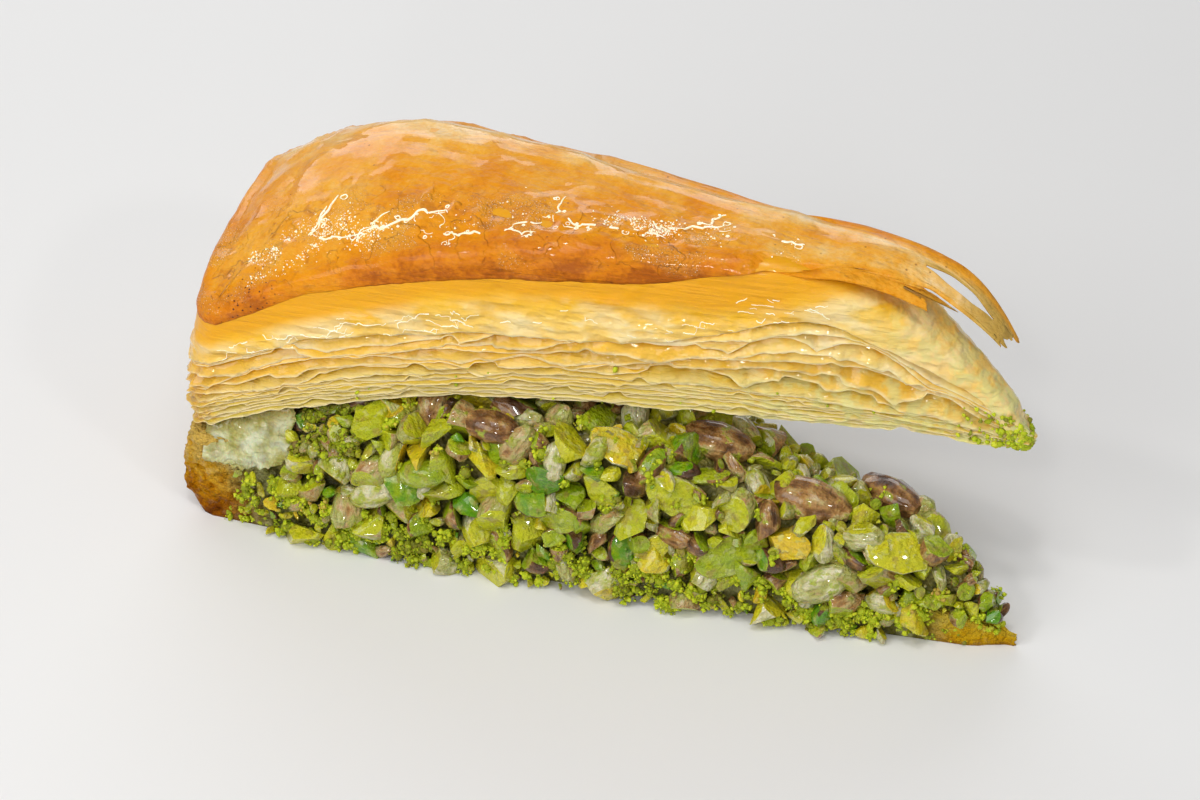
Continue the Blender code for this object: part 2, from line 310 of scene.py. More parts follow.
def mend(made, gap=0.00001):
    """Welds doubled points and turns all faces outwards."""
    pick(made)
    bpy.ops.object.mode_set(mode="EDIT")
    bpy.ops.mesh.select_all(action="SELECT")
    bpy.ops.mesh.remove_doubles(threshold=gap)
    bpy.ops.mesh.normals_make_consistent(inside=False)
    bpy.ops.object.mode_set(mode="OBJECT")


def thicken(made, thickness):
    """Gives a sheet its thickness, on the inner side."""
    pick(made)
    wall = made.modifiers.new("thickness", "SOLIDIFY")
    wall.thickness = thickness * MM
    wall.offset = -1
    wall.use_rim = True
    bpy.ops.object.modifier_apply(modifier=wall.name)


def grid_faces(columns, rows, close_columns=False, close_rows=False, first=0):
    """Quads over a table of points, closed round either way if asked."""
    c = np.arange(columns if close_columns else columns - 1)
    r = np.arange(rows if close_rows else rows - 1)
    c, r = (part.ravel() for part in np.meshgrid(c, r, indexing="ij"))
    c2, r2 = (c + 1) % columns, (r + 1) % rows
    return first + np.stack([c * rows + r, c2 * rows + r, c2 * rows + r2, c * rows + r2], 1)


def facing(points):
    """Unit normals of a table of points, by columns and rows."""
    down = np.gradient(points, axis=0)
    across = np.gradient(points, axis=1)
    normal = np.cross(down, across)
    return normal / np.maximum(np.linalg.norm(normal, axis=-1, keepdims=True), 1e-9)


# ---- Finishes --------------------------------------------------------------------------------
class Value:
    """A shader socket that can be added, multiplied and so on."""

    def __init__(self, finish, socket):
        self.finish, self.socket = finish, socket

    def math(self, operation, first, second):
        return self.finish.make("Math", {"operation": operation}, {0: first, 1: second})

    def __add__(self, other):
        return self.math("ADD", self, other)

    def __sub__(self, other):
        return self.math("SUBTRACT", self, other)

    def __rsub__(self, other):
        return self.math("SUBTRACT", other, self)

    def __mul__(self, other):
        return self.math("MULTIPLY", self, other)

    def __pow__(self, other):
        return self.math("POWER", self, other)

    __radd__ = __add__
    __rmul__ = __mul__


class Finish:
    """A Principled material that is being put together. The make method adds any other node."""

    def __init__(self, name, **constants):
        self.material = bpy.data.materials.new(name)
        self.material.use_nodes = True
        self.tree = self.material.node_tree
        self.shader = self.tree.nodes["Principled BSDF"]
        for key, value in constants.items():
            self.shader.inputs[key.replace("_", " ")].default_value = value

    def make(self, kind, settings, inputs, output=0):
        node = self.tree.nodes.new("ShaderNode" + kind)
        for key, value in settings.items():
            if key == "stops":
                self.set_stops(node.color_ramp, value)
            else:
                setattr(node, key, value)
        for key, value in inputs.items():
            self.plug(node.inputs[key], value)
        return Value(self, node.outputs[output])

    def plug(self, socket, value):
        if isinstance(value, Value):
            self.tree.links.new(value.socket, socket)
        else:
            socket.default_value = value

    def set_stops(self, ramp, stops):
        while len(ramp.elements) < len(stops):
            ramp.elements.new(0.5)
        for element, (place, colour) in zip(ramp.elements, stops):
            element.position = place
            element.color = (*colour, 1)

    def set(self, name, value):
        self.plug(self.shader.inputs[name], value)

    def kept(self, name):
        """A number stored on the piece's points."""
        return self.make("Attribute", {"attribute_name": name}, {}, "Fac")

    def spots(self, stretch=(1, 1, 1)):
        """The piece's own coordinates, squeezed as asked, in millimetres."""
        place = self.make("TexCoord", {}, {}, "Object")
        scale = tuple(1 / MM * part for part in stretch)
        return self.make("Mapping", {}, {"Vector": place, "Scale": scale})

    def cloud(self, size, detail=3.0, stretch=(1, 1, 1), distortion=0.0):
        """Soft noise with features of about that many millimetres, between 0 and 1."""
        return self.make(
            "TexNoise",
            {},
            {
                "Vector": self.spots(stretch),
                "Scale": 1 / size,
                "Detail": detail,
                "Distortion": distortion,
            },
        )

    def cells(self, size, feature="F1", randomness=1.0):
        return self.make(
            "TexVoronoi",
            {"feature": feature},
            {"Vector": self.spots(), "Scale": 1 / size, "Randomness": randomness},
        )

    def step(self, value, low, high):
        """Smooth 0 to 1 as the value goes from low to high."""
        return self.make(
            "MapRange",
            {"interpolation_type": "SMOOTHSTEP"},
            {"Value": value, "From Min": low, "From Max": high},
        )

    def ramp(self, value, stops):
        return self.make("ValToRGB", {"stops": stops}, {"Fac": value})

    def blend(self, amount, first, second, mode="MIX"):
        first, second = (
            part if isinstance(part, Value) else (*part, 1) for part in (first, second)
        )
        return self.make(
            "Mix", {"data_type": "RGBA", "blend_type": mode}, {0: amount, 6: first, 7: second}, 2
        )

    def relief(self, height, depth, strength=1.0, under=None):
        """Bump of that many millimetres."""
        inputs = {"Height": height, "Distance": depth * MM, "Strength": strength}
        if under is not None:
            inputs["Normal"] = under
        return self.make("Bump", {}, inputs)


def crust_finish():
    """Baked top leaf: golden brown, mottled, wet with syrup and frothy along its near ridge, with painted
    glints on the froth and a painted sheen paling its far side.
    """
    f = Finish(
        "baked_crust", Subsurface_Weight=0.06, Subsurface_Scale=0.002, Coat_Roughness=0.04,
        Coat_IOR=1.42, Specular_IOR_Level=0.15,
    )
    f.shader.inputs["Subsurface Radius"].default_value = (1.0, 0.5, 0.1)
    ridge, band = f.kept("ridge"), f.kept("band")
    mottle = f.cloud(11, 3) * 0.6 + f.cloud(3.5, 4) * 0.5 + f.cloud(0.8, 2) * 0.3 - 0.70
    # the pale end of this ramp gives the far side of the top both its paler crust and a painted sheen
    colour = f.ramp(f.kept("browning") + mottle, (
        (0.0, (0.86, 0.62, 0.34)),
        (0.16, (0.85, 0.51, 0.15)),
        (0.36, (0.84, 0.38, 0.03)),
        (0.6, (0.78, 0.28, 0.001)),
        (0.85, (0.66, 0.19, 0.001)),
        (1.0, (0.42, 0.10, 0.001)),
    ))
    toast = f.step(f.cloud(2.6, 7, distortion=0.8), 0.54, 0.66) * (ridge * 0.8 + 0.15)
    colour = f.blend(toast * 0.55, colour, (0.46, 0.13, 0.004))
    bubbles = f.cells(0.42)
    froth = f.step(f.cloud(6, 5, stretch=(0.6, 1, 1)), 0.52, 0.6) * ridge
    colour = f.blend(froth * 0.15, colour, (0.90, 0.48, 0.09))
    # painted glints: near-white dots on the froth stand in for highlights on its bubbles
    colour = f.blend(froth * (1 - f.step(bubbles, 0.06, 0.26)) * 0.95, colour, (1.0, 0.94, 0.74))
    specks = 1 - f.step(f.cells(2.6), 0.04, 0.11)
    colour = f.blend(specks * f.step(f.cloud(14, 2), 0.45, 0.6) * 0.7, colour, (0.22, 0.06, 0.01))
    char = (1 - f.step(f.cells(0.9), 0.16, 0.26)) * f.step(f.cloud(2, 2) + f.kept("char") * 0.25, 0.62, 0.68)
    colour = f.blend(char * f.kept("char"), colour, (0.10, 0.02, 0.006))
    thin = f.kept("thin")
    film = f.blend(f.cloud(2.2, 3), (0.44, 0.25, 0.03), (0.64, 0.43, 0.11))
    colour = f.blend(thin * f.step(f.cloud(3.5, 3) + thin * 0.3, 0.4, 0.7), colour, film)
    f.set("Base Color", colour)
    f.set("Roughness", f.cloud(2.0, 3) * 0.3 + 0.3 + thin * 0.25)
    wet = f.step(f.cloud(7, 4), 0.42, 0.56) * 0.6 + 0.2
    streaks = f.step(f.cloud(2.4, 3, stretch=(0.3, 0.3, 1)), 0.54, 0.62)
    f.set("Coat Weight", (wet * (1 - 0.95 * band) + band * 0.3 * streaks) * (1 - 0.95 * thin))
    rims = f.step(f.cloud(6, 3), 0.5, 0.53) * ridge
    lines = f.cloud(0.9, 2, stretch=(0.05, 0.05, 1)) * f.kept("lines")
    wrinkles = f.cloud(1.3, 4, stretch=(0.4, 1, 1)) * 0.9 + f.cloud(4, 3) * 1.2
    height = rims * 0.4 + (1 - bubbles) * froth * 0.45 + wrinkles + lines * 0.9
    f.set("Normal", f.relief(height, 0.7, 1.0))
    return f.material


def glinting_syrup_finish():
    """Beads of clear syrup standing on the crust, coloured near-white and faintly glowing as painted glints.
    """
    # the faint glow and the near-white colour stand in for highlights on the beads: painted glints
    f = Finish("syrup_with_painted_glints", Roughness=0.12, Coat_Weight=1.0, Coat_Roughness=0.02,
               Specular_IOR_Level=0.6, Subsurface_Weight=0.4, Subsurface_Scale=0.001,
               Emission_Color=(1.0, 0.88, 0.66, 1.0), Emission_Strength=0.22)
    f.set("Base Color", f.blend(f.cloud(2, 2), (1.0, 0.78, 0.42), (1.0, 0.93, 0.76)))
    f.set("Normal", f.relief(f.cloud(0.9, 2), 0.2, 0.6))
    return f.material


def leaf_finish():
    """Filo leaves: pale near the nuts, golden higher up, with lighter lips (paler dry edges and painted
    highlight) and painted shade in the crevices under each lip.
    """
    f = Finish(
        "filo_leaves", Subsurface_Weight=0.22, Subsurface_Scale=0.002, Coat_Roughness=0.05,
        Coat_IOR=1.42, Specular_IOR_Level=0.25,
    )
    f.shader.inputs["Subsurface Radius"].default_value = (1.0, 0.7, 0.2)
    rise = f.kept("rise")
    tone = rise + f.cloud(12, 2) * 0.2 - 0.1
    colour = f.ramp(tone, (
        (0.0, (0.84, 0.66, 0.27)),
        (0.15, (0.88, 0.63, 0.18)),
        (0.3, (0.90, 0.48, 0.035)),
        (0.45, (0.96, 0.60, 0.14)),
        (0.56, (0.95, 0.58, 0.11)),
        (0.64, (0.90, 0.48, 0.02)),
        (0.74, (0.86, 0.37, 0.002)),
        (1.0, (0.84, 0.34, 0.002)),
    ))
    lip = f.kept("lip")
    patch = f.step(f.cloud(4.5, 3, stretch=(0.5, 0.5, 1)), 0.42, 0.62)
    film = f.step(rise, 0.36, 0.46) * (1 - f.step(rise, 0.6, 0.74))
    colour = f.blend(patch * film * 0.75, colour, (0.98, 0.77, 0.40))
    # paler lips: thinner, drier edges, with painted highlight along them
    colour = f.blend(f.step(lip, 0.86, 1.0) * 0.65, colour, (0.97, 0.80, 0.46))
    # painted crevice shade: a darker, warmer colour deep under each upper lip, olive among the fine leaves
    deep = f.blend(f.step(rise, 0.0, 0.3), (0.58, 0.40, 0.03), (0.80, 0.40, 0.004))
    colour = f.blend((1 - f.step(lip, 0.4, 0.94)) * 0.9, colour, deep)
    colour = f.blend(f.kept("crusty") * f.step(f.cloud(2.4, 3), 0.35, 0.65), colour, (0.76, 0.38, 0.06))
    dust = f.kept("dusted") * f.step(f.cloud(2.6, 4), 0.4, 0.6)
    colour = f.blend(dust, colour, (0.74, 0.69, 0.26))
    f.set("Base Color", colour)
    f.set("Roughness", f.cloud(3, 3) * 0.3 + 0.3)
    wet = f.step(rise, 0.1, 0.3) * (1 - 0.75 * f.step(rise, 0.62, 0.76))
    f.set("Coat Weight", f.step(f.cloud(3, 4), 0.38, 0.5) * 0.95 * wet + 0.05)
    lines = f.cloud(0.9, 2, stretch=(0.05, 0.05, 1)) * 0.5 * f.step(rise, 0.5, 0.7)
    wrinkles = f.cloud(1.6, 3, stretch=(0.35, 0.35, 1)) * 1.2 + f.cloud(3.4, 2)
    sheets = f.cloud(0.45, 3, stretch=(0.06, 0.06, 1)) * (1 - f.step(rise, 0.1, 0.4)) * 0.6
    f.set("Normal", f.relief(wrinkles * (1 - 0.6 * f.step(rise, 0.6, 0.74)) + lines + sheets, 0.8, 1.0))
    return f.material


def inner_finish():
    """The closed-up leaves seen deep between the lips."""
    f = Finish("inner_filo", Roughness=0.5, Subsurface_Weight=0.1, Subsurface_Scale=0.002)
    colour = f.blend(f.cloud(5, 3), (0.66, 0.34, 0.04), (0.80, 0.56, 0.14))
    f.set("Base Color", colour)
    f.set("Normal", f.relief(f.cloud(1.2, 3, stretch=(0.3, 0.3, 1.6)), 0.5))
    return f.material


def flesh_finish():
    """Cut pistachio: bright green to yellow-green, wet with syrup."""
    f = Finish("pistachio_flesh", Subsurface_Weight=0.25, Subsurface_Scale=0.0015,
               Coat_Roughness=0.08, Specular_IOR_Level=0.2)
    f.shader.inputs["Subsurface Radius"].default_value = (0.8, 1.0, 0.1)
    tone = f.kept("tone") + f.cloud(1.8, 3) * 0.5 - 0.25
    colour = f.ramp(tone, (
        (0.0, (0.10, 0.28, 0.0)),
        (0.14, (0.26, 0.37, 0.001)),
        (0.4, (0.42, 0.47, 0.006)),
        (0.75, (0.62, 0.58, 0.012)),
        (1.0, (0.74, 0.50, 0.010)),
    ))
    browned = f.step(f.cloud(2.6, 5), 0.54, 0.66)
    colour = f.blend(browned * 0.6, colour, (0.36, 0.25, 0.05))
    paler = f.step(f.cloud(1.6, 4), 0.56, 0.66)
    colour = f.blend(paler * 0.45, colour, (0.60, 0.62, 0.22))
    f.set("Base Color", colour)
    f.set("Roughness", f.cloud(1.0, 2) * 0.3 + 0.25)
    f.set("Coat Weight", f.step(f.cloud(4, 2), 0.32, 0.46))
    f.set("Normal", f.relief(f.cloud(0.8, 5) * 1.2 + f.cloud(2.2, 3) * 1.6, 0.8, 1.0))
    return f.material


def skin_finish():
    """Pistachio skin: papery, wrinkled lengthwise, brown, tan, silver and green by turns."""
    f = Finish("pistachio_skin", Coat_Roughness=0.07, Specular_IOR_Level=0.3,
               Subsurface_Weight=0.15, Subsurface_Scale=0.001)
    along_kernel = f.make("CombineXYZ", {}, {
        "X": f.kept("kernel_x") * 3.6, "Y": f.kept("kernel_y") * 3.6, "Z": f.kept("kernel_z") * 1.3,
    })
    streaks = f.make("TexNoise", {}, {"Vector": along_kernel, "Scale": 1.0, "Detail": 5.0})
    tone = f.kept("tone") + streaks * 0.8 + f.cloud(2.6, 4) * 0.8 - 0.82
    colour = f.ramp(tone, (
        (0.0, (0.08, 0.030, 0.007)),
        (0.16, (0.20, 0.085, 0.020)),
        (0.3, (0.42, 0.22, 0.06)),
        (0.42, (0.52, 0.38, 0.15)),
        (0.54, (0.36, 0.36, 0.06)),
        (0.66, (0.52, 0.50, 0.18)),
        (0.8, (0.72, 0.66, 0.42)),
        (1.0, (0.42, 0.44, 0.04)),
    ))
    rubbed = f.step(f.cloud(2.6, 3), 0.6, 0.66)
    colour = f.blend(rubbed * 0.8, colour, (0.36, 0.42, 0.01))
    f.set("Base Color", colour)
    f.set("Roughness", f.cloud(1.0, 2) * 0.3 + 0.25)
    f.set("Coat Weight", f.step(f.cloud(3, 2), 0.34, 0.5) * 0.9)
    f.set("Normal", f.relief(streaks * 1.8 + f.cloud(0.9, 4) * 0.9 + f.cloud(2.6, 3), 1.0))
    return f.material


def crumb_finish():
    """Ground pistachio: bright yellow-green grains."""
    f = Finish("pistachio_crumb", Subsurface_Weight=0.15, Subsurface_Scale=0.0006,
               Specular_IOR_Level=0.3)
    tone = f.kept("tone")
    colour = f.ramp(tone, (
        (0.0, (0.20, 0.13, 0.03)),
        (0.25, (0.27, 0.31, 0.010)),
        (0.55, (0.46, 0.54, 0.010)),
        (0.85, (0.62, 0.68, 0.025)),
        (1.0, (0.50, 0.34, 0.06)),
    ))
    f.set("Base Color", colour)
    f.set("Roughness", f.cloud(0.8, 2) * 0.3 + 0.45)
    f.set("Normal", f.relief(f.cells(0.35), 0.12))
    return f.material


def paste_and_gap_shade_finish():
    """Syrup, crumbs and nut skins packed between the chopped nuts, with near-black patches as painted shade
    in the gaps.
    """
    f = Finish("nut_paste_and_gap_shade", Coat_Roughness=0.1)
    colour = f.ramp(f.cloud(3.5, 4), (
        # near-black stops: painted shade in the gaps between the nuts; the tan and brown stops are the paste
        # itself
        (0.3, (0.04, 0.035, 0.004)),
        (0.45, (0.13, 0.12, 0.014)),
        (0.6, (0.34, 0.29, 0.07)),
        (0.75, (0.28, 0.14, 0.04)),
    ))
    f.set("Base Color", colour)
    f.set("Roughness", f.cloud(1.5, 2) * 0.3 + 0.3)
    f.set("Coat Weight", f.step(f.cloud(5, 2), 0.4, 0.6) * 0.6)
    f.set("Normal", f.relief((1 - f.cells(0.9)) * 0.9 + f.cloud(0.8, 3), 0.7))
    return f.material


def base_finish():
    """Soaked filo: a rough brown rim, grey-green wet sides and an amber tip."""
    f = Finish("soaked_base", Subsurface_Weight=0.1, Subsurface_Scale=0.002, Coat_Roughness=0.06,
               Specular_IOR_Level=0.05)
    f.shader.inputs["Subsurface Radius"].default_value = (1.0, 0.6, 0.2)
    rim, tip, height = f.kept("rim"), f.kept("tip"), f.kept("height")
    sides = f.blend(f.step(f.cloud(3, 4), 0.35, 0.65), (0.15, 0.14, 0.02), (0.44, 0.42, 0.17))
    brown = f.ramp(f.cloud(3.0, 5) * 0.9 + f.cloud(0.7, 2) * 0.3 + height * 0.8 - 0.38, (
        (0.1, (0.16, 0.035, 0.002)),
        (0.32, (0.34, 0.11, 0.001)),
        (0.5, (0.50, 0.20, 0.001)),
        (0.68, (0.66, 0.34, 0.015)),
        (0.85, (0.72, 0.46, 0.09)),
    ))
    amber = f.ramp(f.cloud(3, 4) * 0.7 + height * 1.7 - 0.05, (
        (0.12, (0.16, 0.03, 0.003)),
        (0.28, (0.46, 0.22, 0.004)),
        (0.5, (0.64, 0.36, 0.004)),
        (0.8, (0.70, 0.48, 0.03)),
    ))
    colour = f.blend(rim, sides, brown)
    colour = f.blend(tip, colour, amber)
    f.set("Base Color", colour)
    f.set("Roughness", f.cloud(1.5, 3) * 0.35 + 0.3)
    f.set("Coat Weight", f.step(f.cloud(1.6, 3), 0.55, 0.62) * 0.5)
    sponge = f.cloud(0.6, 4) + (1 - f.cells(1.1)) * 0.9 + f.cloud(2.4, 3)
    f.set("Normal", f.relief(sponge, 1.2, 1.0))
    return f.material


def flap_finish():
    """A loose, wet, see-through leaf."""
    f = Finish("wet_flap", Subsurface_Weight=0.3, Subsurface_Scale=0.002, Coat_Weight=1.0,
               Coat_Roughness=0.03, Roughness=0.3, Specular_IOR_Level=0.3)
    fall = f.kept("fall")
    film = f.ramp(f.cloud(2.8, 4), (
        (0.36, (0.46, 0.40, 0.07)),
        (0.5, (0.66, 0.58, 0.25)),
        (0.62, (0.82, 0.74, 0.46)),
    ))
    f.set("Base Color", f.blend(f.step(fall, 0.0, 0.4), (0.34, 0.26, 0.03), film))
    f.set("Alpha", f.step(f.cloud(3.5, 3), 0.3, 0.55) * 0.4 + 0.5)
    f.set("Normal", f.relief(f.cloud(1.1, 4), 1.1, 1.0))
    return f.material


def floor_finish():
    f = Finish("pale_table", Roughness=0.7)
    f.set("Base Color", f.blend(f.cloud(300, 2), (0.80, 0.79, 0.77), (0.84, 0.83, 0.81)))
    return f.material


# ---- Lid: cover sheets -----------------------------------------------------------------------
def crust_lift(x, share):
    """Height of the torn crust: level at first, then drooping, the near tongues more evenly."""
    t = np.maximum(x - TONGUE_LEVEL, 0.0) / (TONGUE_REACH - TONGUE_LEVEL)
    arch = TONGUE_ARCH * (share - 0.55) ** 2
    return TONGUE_TOP - arch - TONGUE_DROOP * t ** (2 + 2.2 * share)


def lid_bumps(x, y, z):
    """Slow unevenness that the crust and the leaf under it share."""
    return 0.4 * rough(x / 14, y / 8.5, z / 8, seed=71)


# how far the leaf under the crust lies inside the crust's outer face
BODY_SINK = 0.3


def cover_table(edge, lip_z, sink, rows=26, skirt=7, turns=4, torn=False):
    """Points of a leaf over the whole lid, by columns and rows from its lip to the spine."""
    if torn:
        held = 1 - ease(76, 114, edge.x)
        lip_z = lip_z + (edge.top - 1.0 - lip_z) * (1 - held)
    shoulder_z = np.maximum(edge.top - sink - edge.round, lip_z + 0.1)
    t = np.linspace(0, 1, skirt)
    z = lip_z[:, None] + (shoulder_z - lip_z)[:, None] * t
    level = (z - edge.under[:, None]) / (shoulder_z - edge.under)[:, None]
    belly = 0.4 * np.sin(np.pi * level) + 0.55 * waves(edge.run[:, None] / 16, z / 5, seed=40)
    tuck = BODY_SINK * (1 - t) * (1 - ease(94, 102, edge.x))[:, None] if torn else 0 * t
    out = (belly - sink - tuck) * ease(0, 8, edge.width)[:, None]
    wall = at_edge(edge, out, z)
    angle = np.linspace(0, np.pi / 2, turns + 2)[1:-1]
    z = (edge.top - sink)[:, None] - edge.round[:, None] * (1 - np.sin(angle))
    turn = at_edge(edge, -edge.round[:, None] * (1 - np.cos(angle)) + out[:, -1:], z)
    spine_x = np.clip(edge.x, SPINE_START, LID_END)
    low, high = lid_sides(spine_x)
    t = np.linspace(0, 1, rows)[None]
    x = edge.in_x[:, None] * (1 - t) + spine_x[:, None] * t
    y = edge.in_y[:, None] * (1 - t) + ((low + high) / 2)[:, None] * t
    low, high = lid_sides(x)
    share = np.clip((y - low) / (high - low), 0, 1)
    z = lid_top(x, share) - sink
    top = np.stack([x + end_shift(x, y, z), y, z], -1)
    points = np.concatenate([wall, turn, top], 1)
    fade = np.linspace(0, 1, skirt + turns)
    first = np.where(
        edge.share[:, None] < 0.5, edge.share[:, None] * fade, 1 - (1 - edge.share[:, None]) * fade
    )
    shares = np.concatenate([first, share], 1)
    tilt = np.concatenate([np.zeros(skirt), angle, np.full(rows, np.pi / 2)])
    away = np.stack([
        edge.out_x[:, None] * np.cos(tilt), edge.out_y[:, None] * np.cos(tilt),
        np.sin(tilt) + 0 * edge.out_x[:, None],
    ], -1)
    return points, shares, away


def tear(points, shares, edge):
    """Lifts the crust off the body near the tip and splits it into tongues."""
    x, y, z = (points[..., k].copy() for k in range(3))
    place = np.clip(shares, 0, 1)
    far_end = LONG_TONGUE + (TONGUE_REACH - LONG_TONGUE) * place
    end = SHORT_TONGUE + (far_end - SHORT_TONGUE) * ease(0.15, 0.19, place)
    end = end + 1.1 * rough(place * 9, seed=51) + 0.35 * waves(place * 34, seed=52)
    past = np.maximum(x - LIFT_FROM, 0)
    squeezed = x + past * ((end - LIFT_FROM) / (LID_END - LIFT_FROM) - 1)
    low, high = lid_sides(np.minimum(squeezed, 128.0))
    taper = 1 - 0.35 * ease(130, 143, squeezed)
    middle = low + (high - low) * 0.6
    spread = low + (high - low) * place
    lifted = crust_lift(squeezed, place)
    amount = ease(LIFT_FROM, LIFT_TO, squeezed)
    flat = squeezed > LIFT_FROM
    lie = middle + (spread - middle) * taper
    y = np.where(flat, y + (lie - y) * amount, y)
    z = np.where(flat, z + (lifted - z) * amount, z)
    for split, start, stop in TONGUE_GAPS:
        opened = ease(start, start + 5, squeezed) * (1 - ease(stop - 4, stop, squeezed))
        beside = (1 - ease(0.0, 0.16, np.abs(place - split))) * np.sign(place - split)
        y = y + 0.8 * opened * beside
        z = z + 0.35 * opened * np.minimum(beside, 0)
    return np.stack([np.where(flat, squeezed, x), y, z], -1)


def gaps(points, shares):
    """True for each cell of the table that lies in a gap between tongues."""
    x = points[:-1, :-1, 0]
    low = np.minimum(shares[:-1, :-1], shares[:-1, 1:])
    high = np.maximum(shares[:-1, :-1], shares[:-1, 1:])
    open_cell = np.zeros_like(x, bool)
    for place, start, stop in TONGUE_GAPS:
        wide = place + 0.02 * np.stack([-np.ones_like(x), np.ones_like(x)])
        inside = (high > wide[0]) & (low < wide[1])
        open_cell |= inside & (x > start) & (x < stop)
    return open_cell


def ridged(a, b=0.0, c=0.0, seed=0):
    """Soft dimples with sharper crests between them, from -1 to 1."""
    return 1 - 2 * np.abs(waves(a, b, c, seed)) ** 0.7


def make_crust(finish):
    edge = Edge(330)
    ragged = 0.3 * rough(edge.run / 2.2, seed=31) + 0.6 * waves(edge.run / 14, seed=32)
    lip_z = edge.under + (edge.top - edge.under) * lip_share(CRUST_LIP, edge.x) + ragged
    points, shares, away = cover_table(edge, lip_z, sink=0.0, torn=True)
    x, y, z = (points[..., k] for k in range(3))
    far = ease(0.45, 0.95, shares)
    wide = 1 - ease(8, 30, x)
    creases = 0.5 * ridged(x / 20 + y / 30, y / 6.5, z / 7, seed=61)
    creases = far * (creases + 0.3 * ridged(x / 8, y / 3.5, z / 4, seed=64))
    folds = 0.45 * ridged(x / 7, y / 13, z / 11, seed=63) + 0.2 * waves(x / 3, y / 4, z / 4, 65)
    blisters = 0.28 * rough(x / 5, y / 4, z / 4, seed=67) * (1 - far)
    crumple = 0.4 * ridge_zone(shares) * ridged(x / 5, y / 3.5, z / 3.5, seed=69)
    clear = ease(0.5, 7, z - lip_z[:, None])
    bumps = lid_bumps(x, y, z) + (creases + wide * folds + blisters + crumple) * clear
    calm = (1 - 0.85 * ease(96, 110, x)) * edge.narrow[:, None]
    points = points + away * (bumps * calm)[..., None]
    points = tear(points, shares, edge)
    points[-1] = points[0]
    columns, rows = points.shape[:2]
    keep = ~gaps(points, shares).ravel()
    tip = edge.x > 146.5
    keep &= ~np.repeat(tip[:-1] & tip[1:], rows - 1)
    over = ease(0.0, 1.0, (np.arange(rows)[None] - 3) / 13.0)
    browning = 0.86 - 0.30 * over + 0 * shares
    # the far side of the top is paler: partly paler crust, partly painted sheen where it tilts back towards
    # the lights behind
    browning = browning - 0.38 * ease(0.5, 0.95, shares) * over
    browning = browning - 0.16 * ease(84, 104, x) - 0.14 * ease(108, 134, x)
    browning = browning + 0.16 * waves(x / 18, y / 10, seed=66) + 0.10 * waves(x / 7, y / 5, seed=68)
    thin = ease(127, 139, points[..., 0]) * (1 - 0.6 * ease(0.7, 0.9, shares))
    thin = np.maximum(thin, ease(120, 130, points[..., 0]) * (1 - ease(0.0, 0.1, np.abs(shares - 0.6))))
    crust = add_piece(
        "lid_crust", points, grid_faces(columns, rows)[keep], finish, "pastry_lid",
        values={
            "browning": browning, "ridge": ridge_zone(shares) * (1 - ease(88, 102, x)), "thin": thin,
            "band": 1 - over + 0 * x, "char": 1 - ease(2, 9, np.hypot(x - 13, y + 21)),
            "lines": (1 - ease(0.0, 0.7, (np.arange(rows)[None] - 2) / 6.0)) + 0 * x,
        },
    )
    mend(crust)
    thicken(crust, 0.35)
    return crust


def syrup_trails(rng):
    """Where syrup dried in lines: end to end along the near shoulder, with branches up the lid."""
    trails = []
    x = 14.0
    while x < LIFT_FROM:
        share = 0.08 + 0.22 * x / LIFT_FROM + rng.uniform(-0.05, 0.07)
        length = rng.uniform(8, 22)
        end = share + rng.uniform(-0.05, 0.12)
        trails.append(((x, share), (x + length, end), rng.uniform(0.8, 1.6)))
        for k in range(rng.integers(1, 4)):
            t = rng.random()
            root = (x + length * t, share + (end - share) * t)
            away = (rng.uniform(-2, 6), rng.choice((-0.5, 1.0)) * rng.uniform(0.06, 0.2))
            trails.append((root, (root[0] + away[0], max(root[1] + away[1], 0.03)), 1.0))
        x += length * rng.uniform(0.7, 1.05)
    return trails


def syrup_path(start, end, stray, seed):
    """A squiggly line over the lid, as places along and across the slice, and its spots by mm."""
    length = math.dist((start[0], 40 * start[1]), (end[0], 40 * end[1]))
    run = np.linspace(0, length, max(int(7 * length), 30))
    t = run / length
    x = start[0] + (end[0] - start[0]) * t + stray * rough(run / 3.2, seed=seed)
    low, high = lid_sides(x)
    y = low + (high - low) * (start[1] + (end[1] - start[1]) * t)
    x = x + 0.75 * waves(run / 1.2, seed=seed + 1)
    y = y + stray * rough(run / 3.2, seed=seed + 2) + 0.75 * waves(run / 1.2, seed=seed + 3)
    return x, y, run


def syrup_ring(x, y, size, seed):
    """The rim of a burst bubble round one spot."""
    turn = np.linspace(0, 2 * np.pi, 40)
    reach = size * (1 + 0.3 * waves(2 * np.cos(turn), 2 * np.sin(turn), seed=seed))
    return x + 1.3 * reach * np.cos(turn), y + reach * np.sin(turn), turn * size


def bead_lines(name, lines, surface, finish):
    """Thin beads lying on a surface, each from its points, their run and its thickness."""
    pick_none()
    for points, run, thick in lines:
        data = bpy.data.curves.new("trail", "CURVE")
        data.dimensions = "3D"
        data.bevel_depth = MM
        data.bevel_resolution = 1
        data.use_fill_caps = True
        spline = data.splines.new("POLY")
        spline.points.add(len(points) - 1)
        beads = thick * (0.7 + 0.9 * rough(run / 1.3, seed=133))
        for point, spot, bead in zip(spline.points, (points + FOOT) * MM, beads):
            point.co = (*surface.closest_point_on_mesh(Vector(spot))[1], 1)
            point.radius = max(float(bead), 0.05)
        trail = bpy.data.objects.new("trail", data)
        bpy.context.scene.collection.objects.link(trail)
        trail.select_set(True)
        bpy.context.view_layer.objects.active = trail
    bpy.ops.object.convert(target="MESH")
    bpy.ops.object.join()
    made = bpy.context.active_object
    made.name = name
    made.data.materials.clear()
    made.data.materials.append(finish)
    made.data.shade_smooth()
    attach(made, "root")
    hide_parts("pastry_lid")


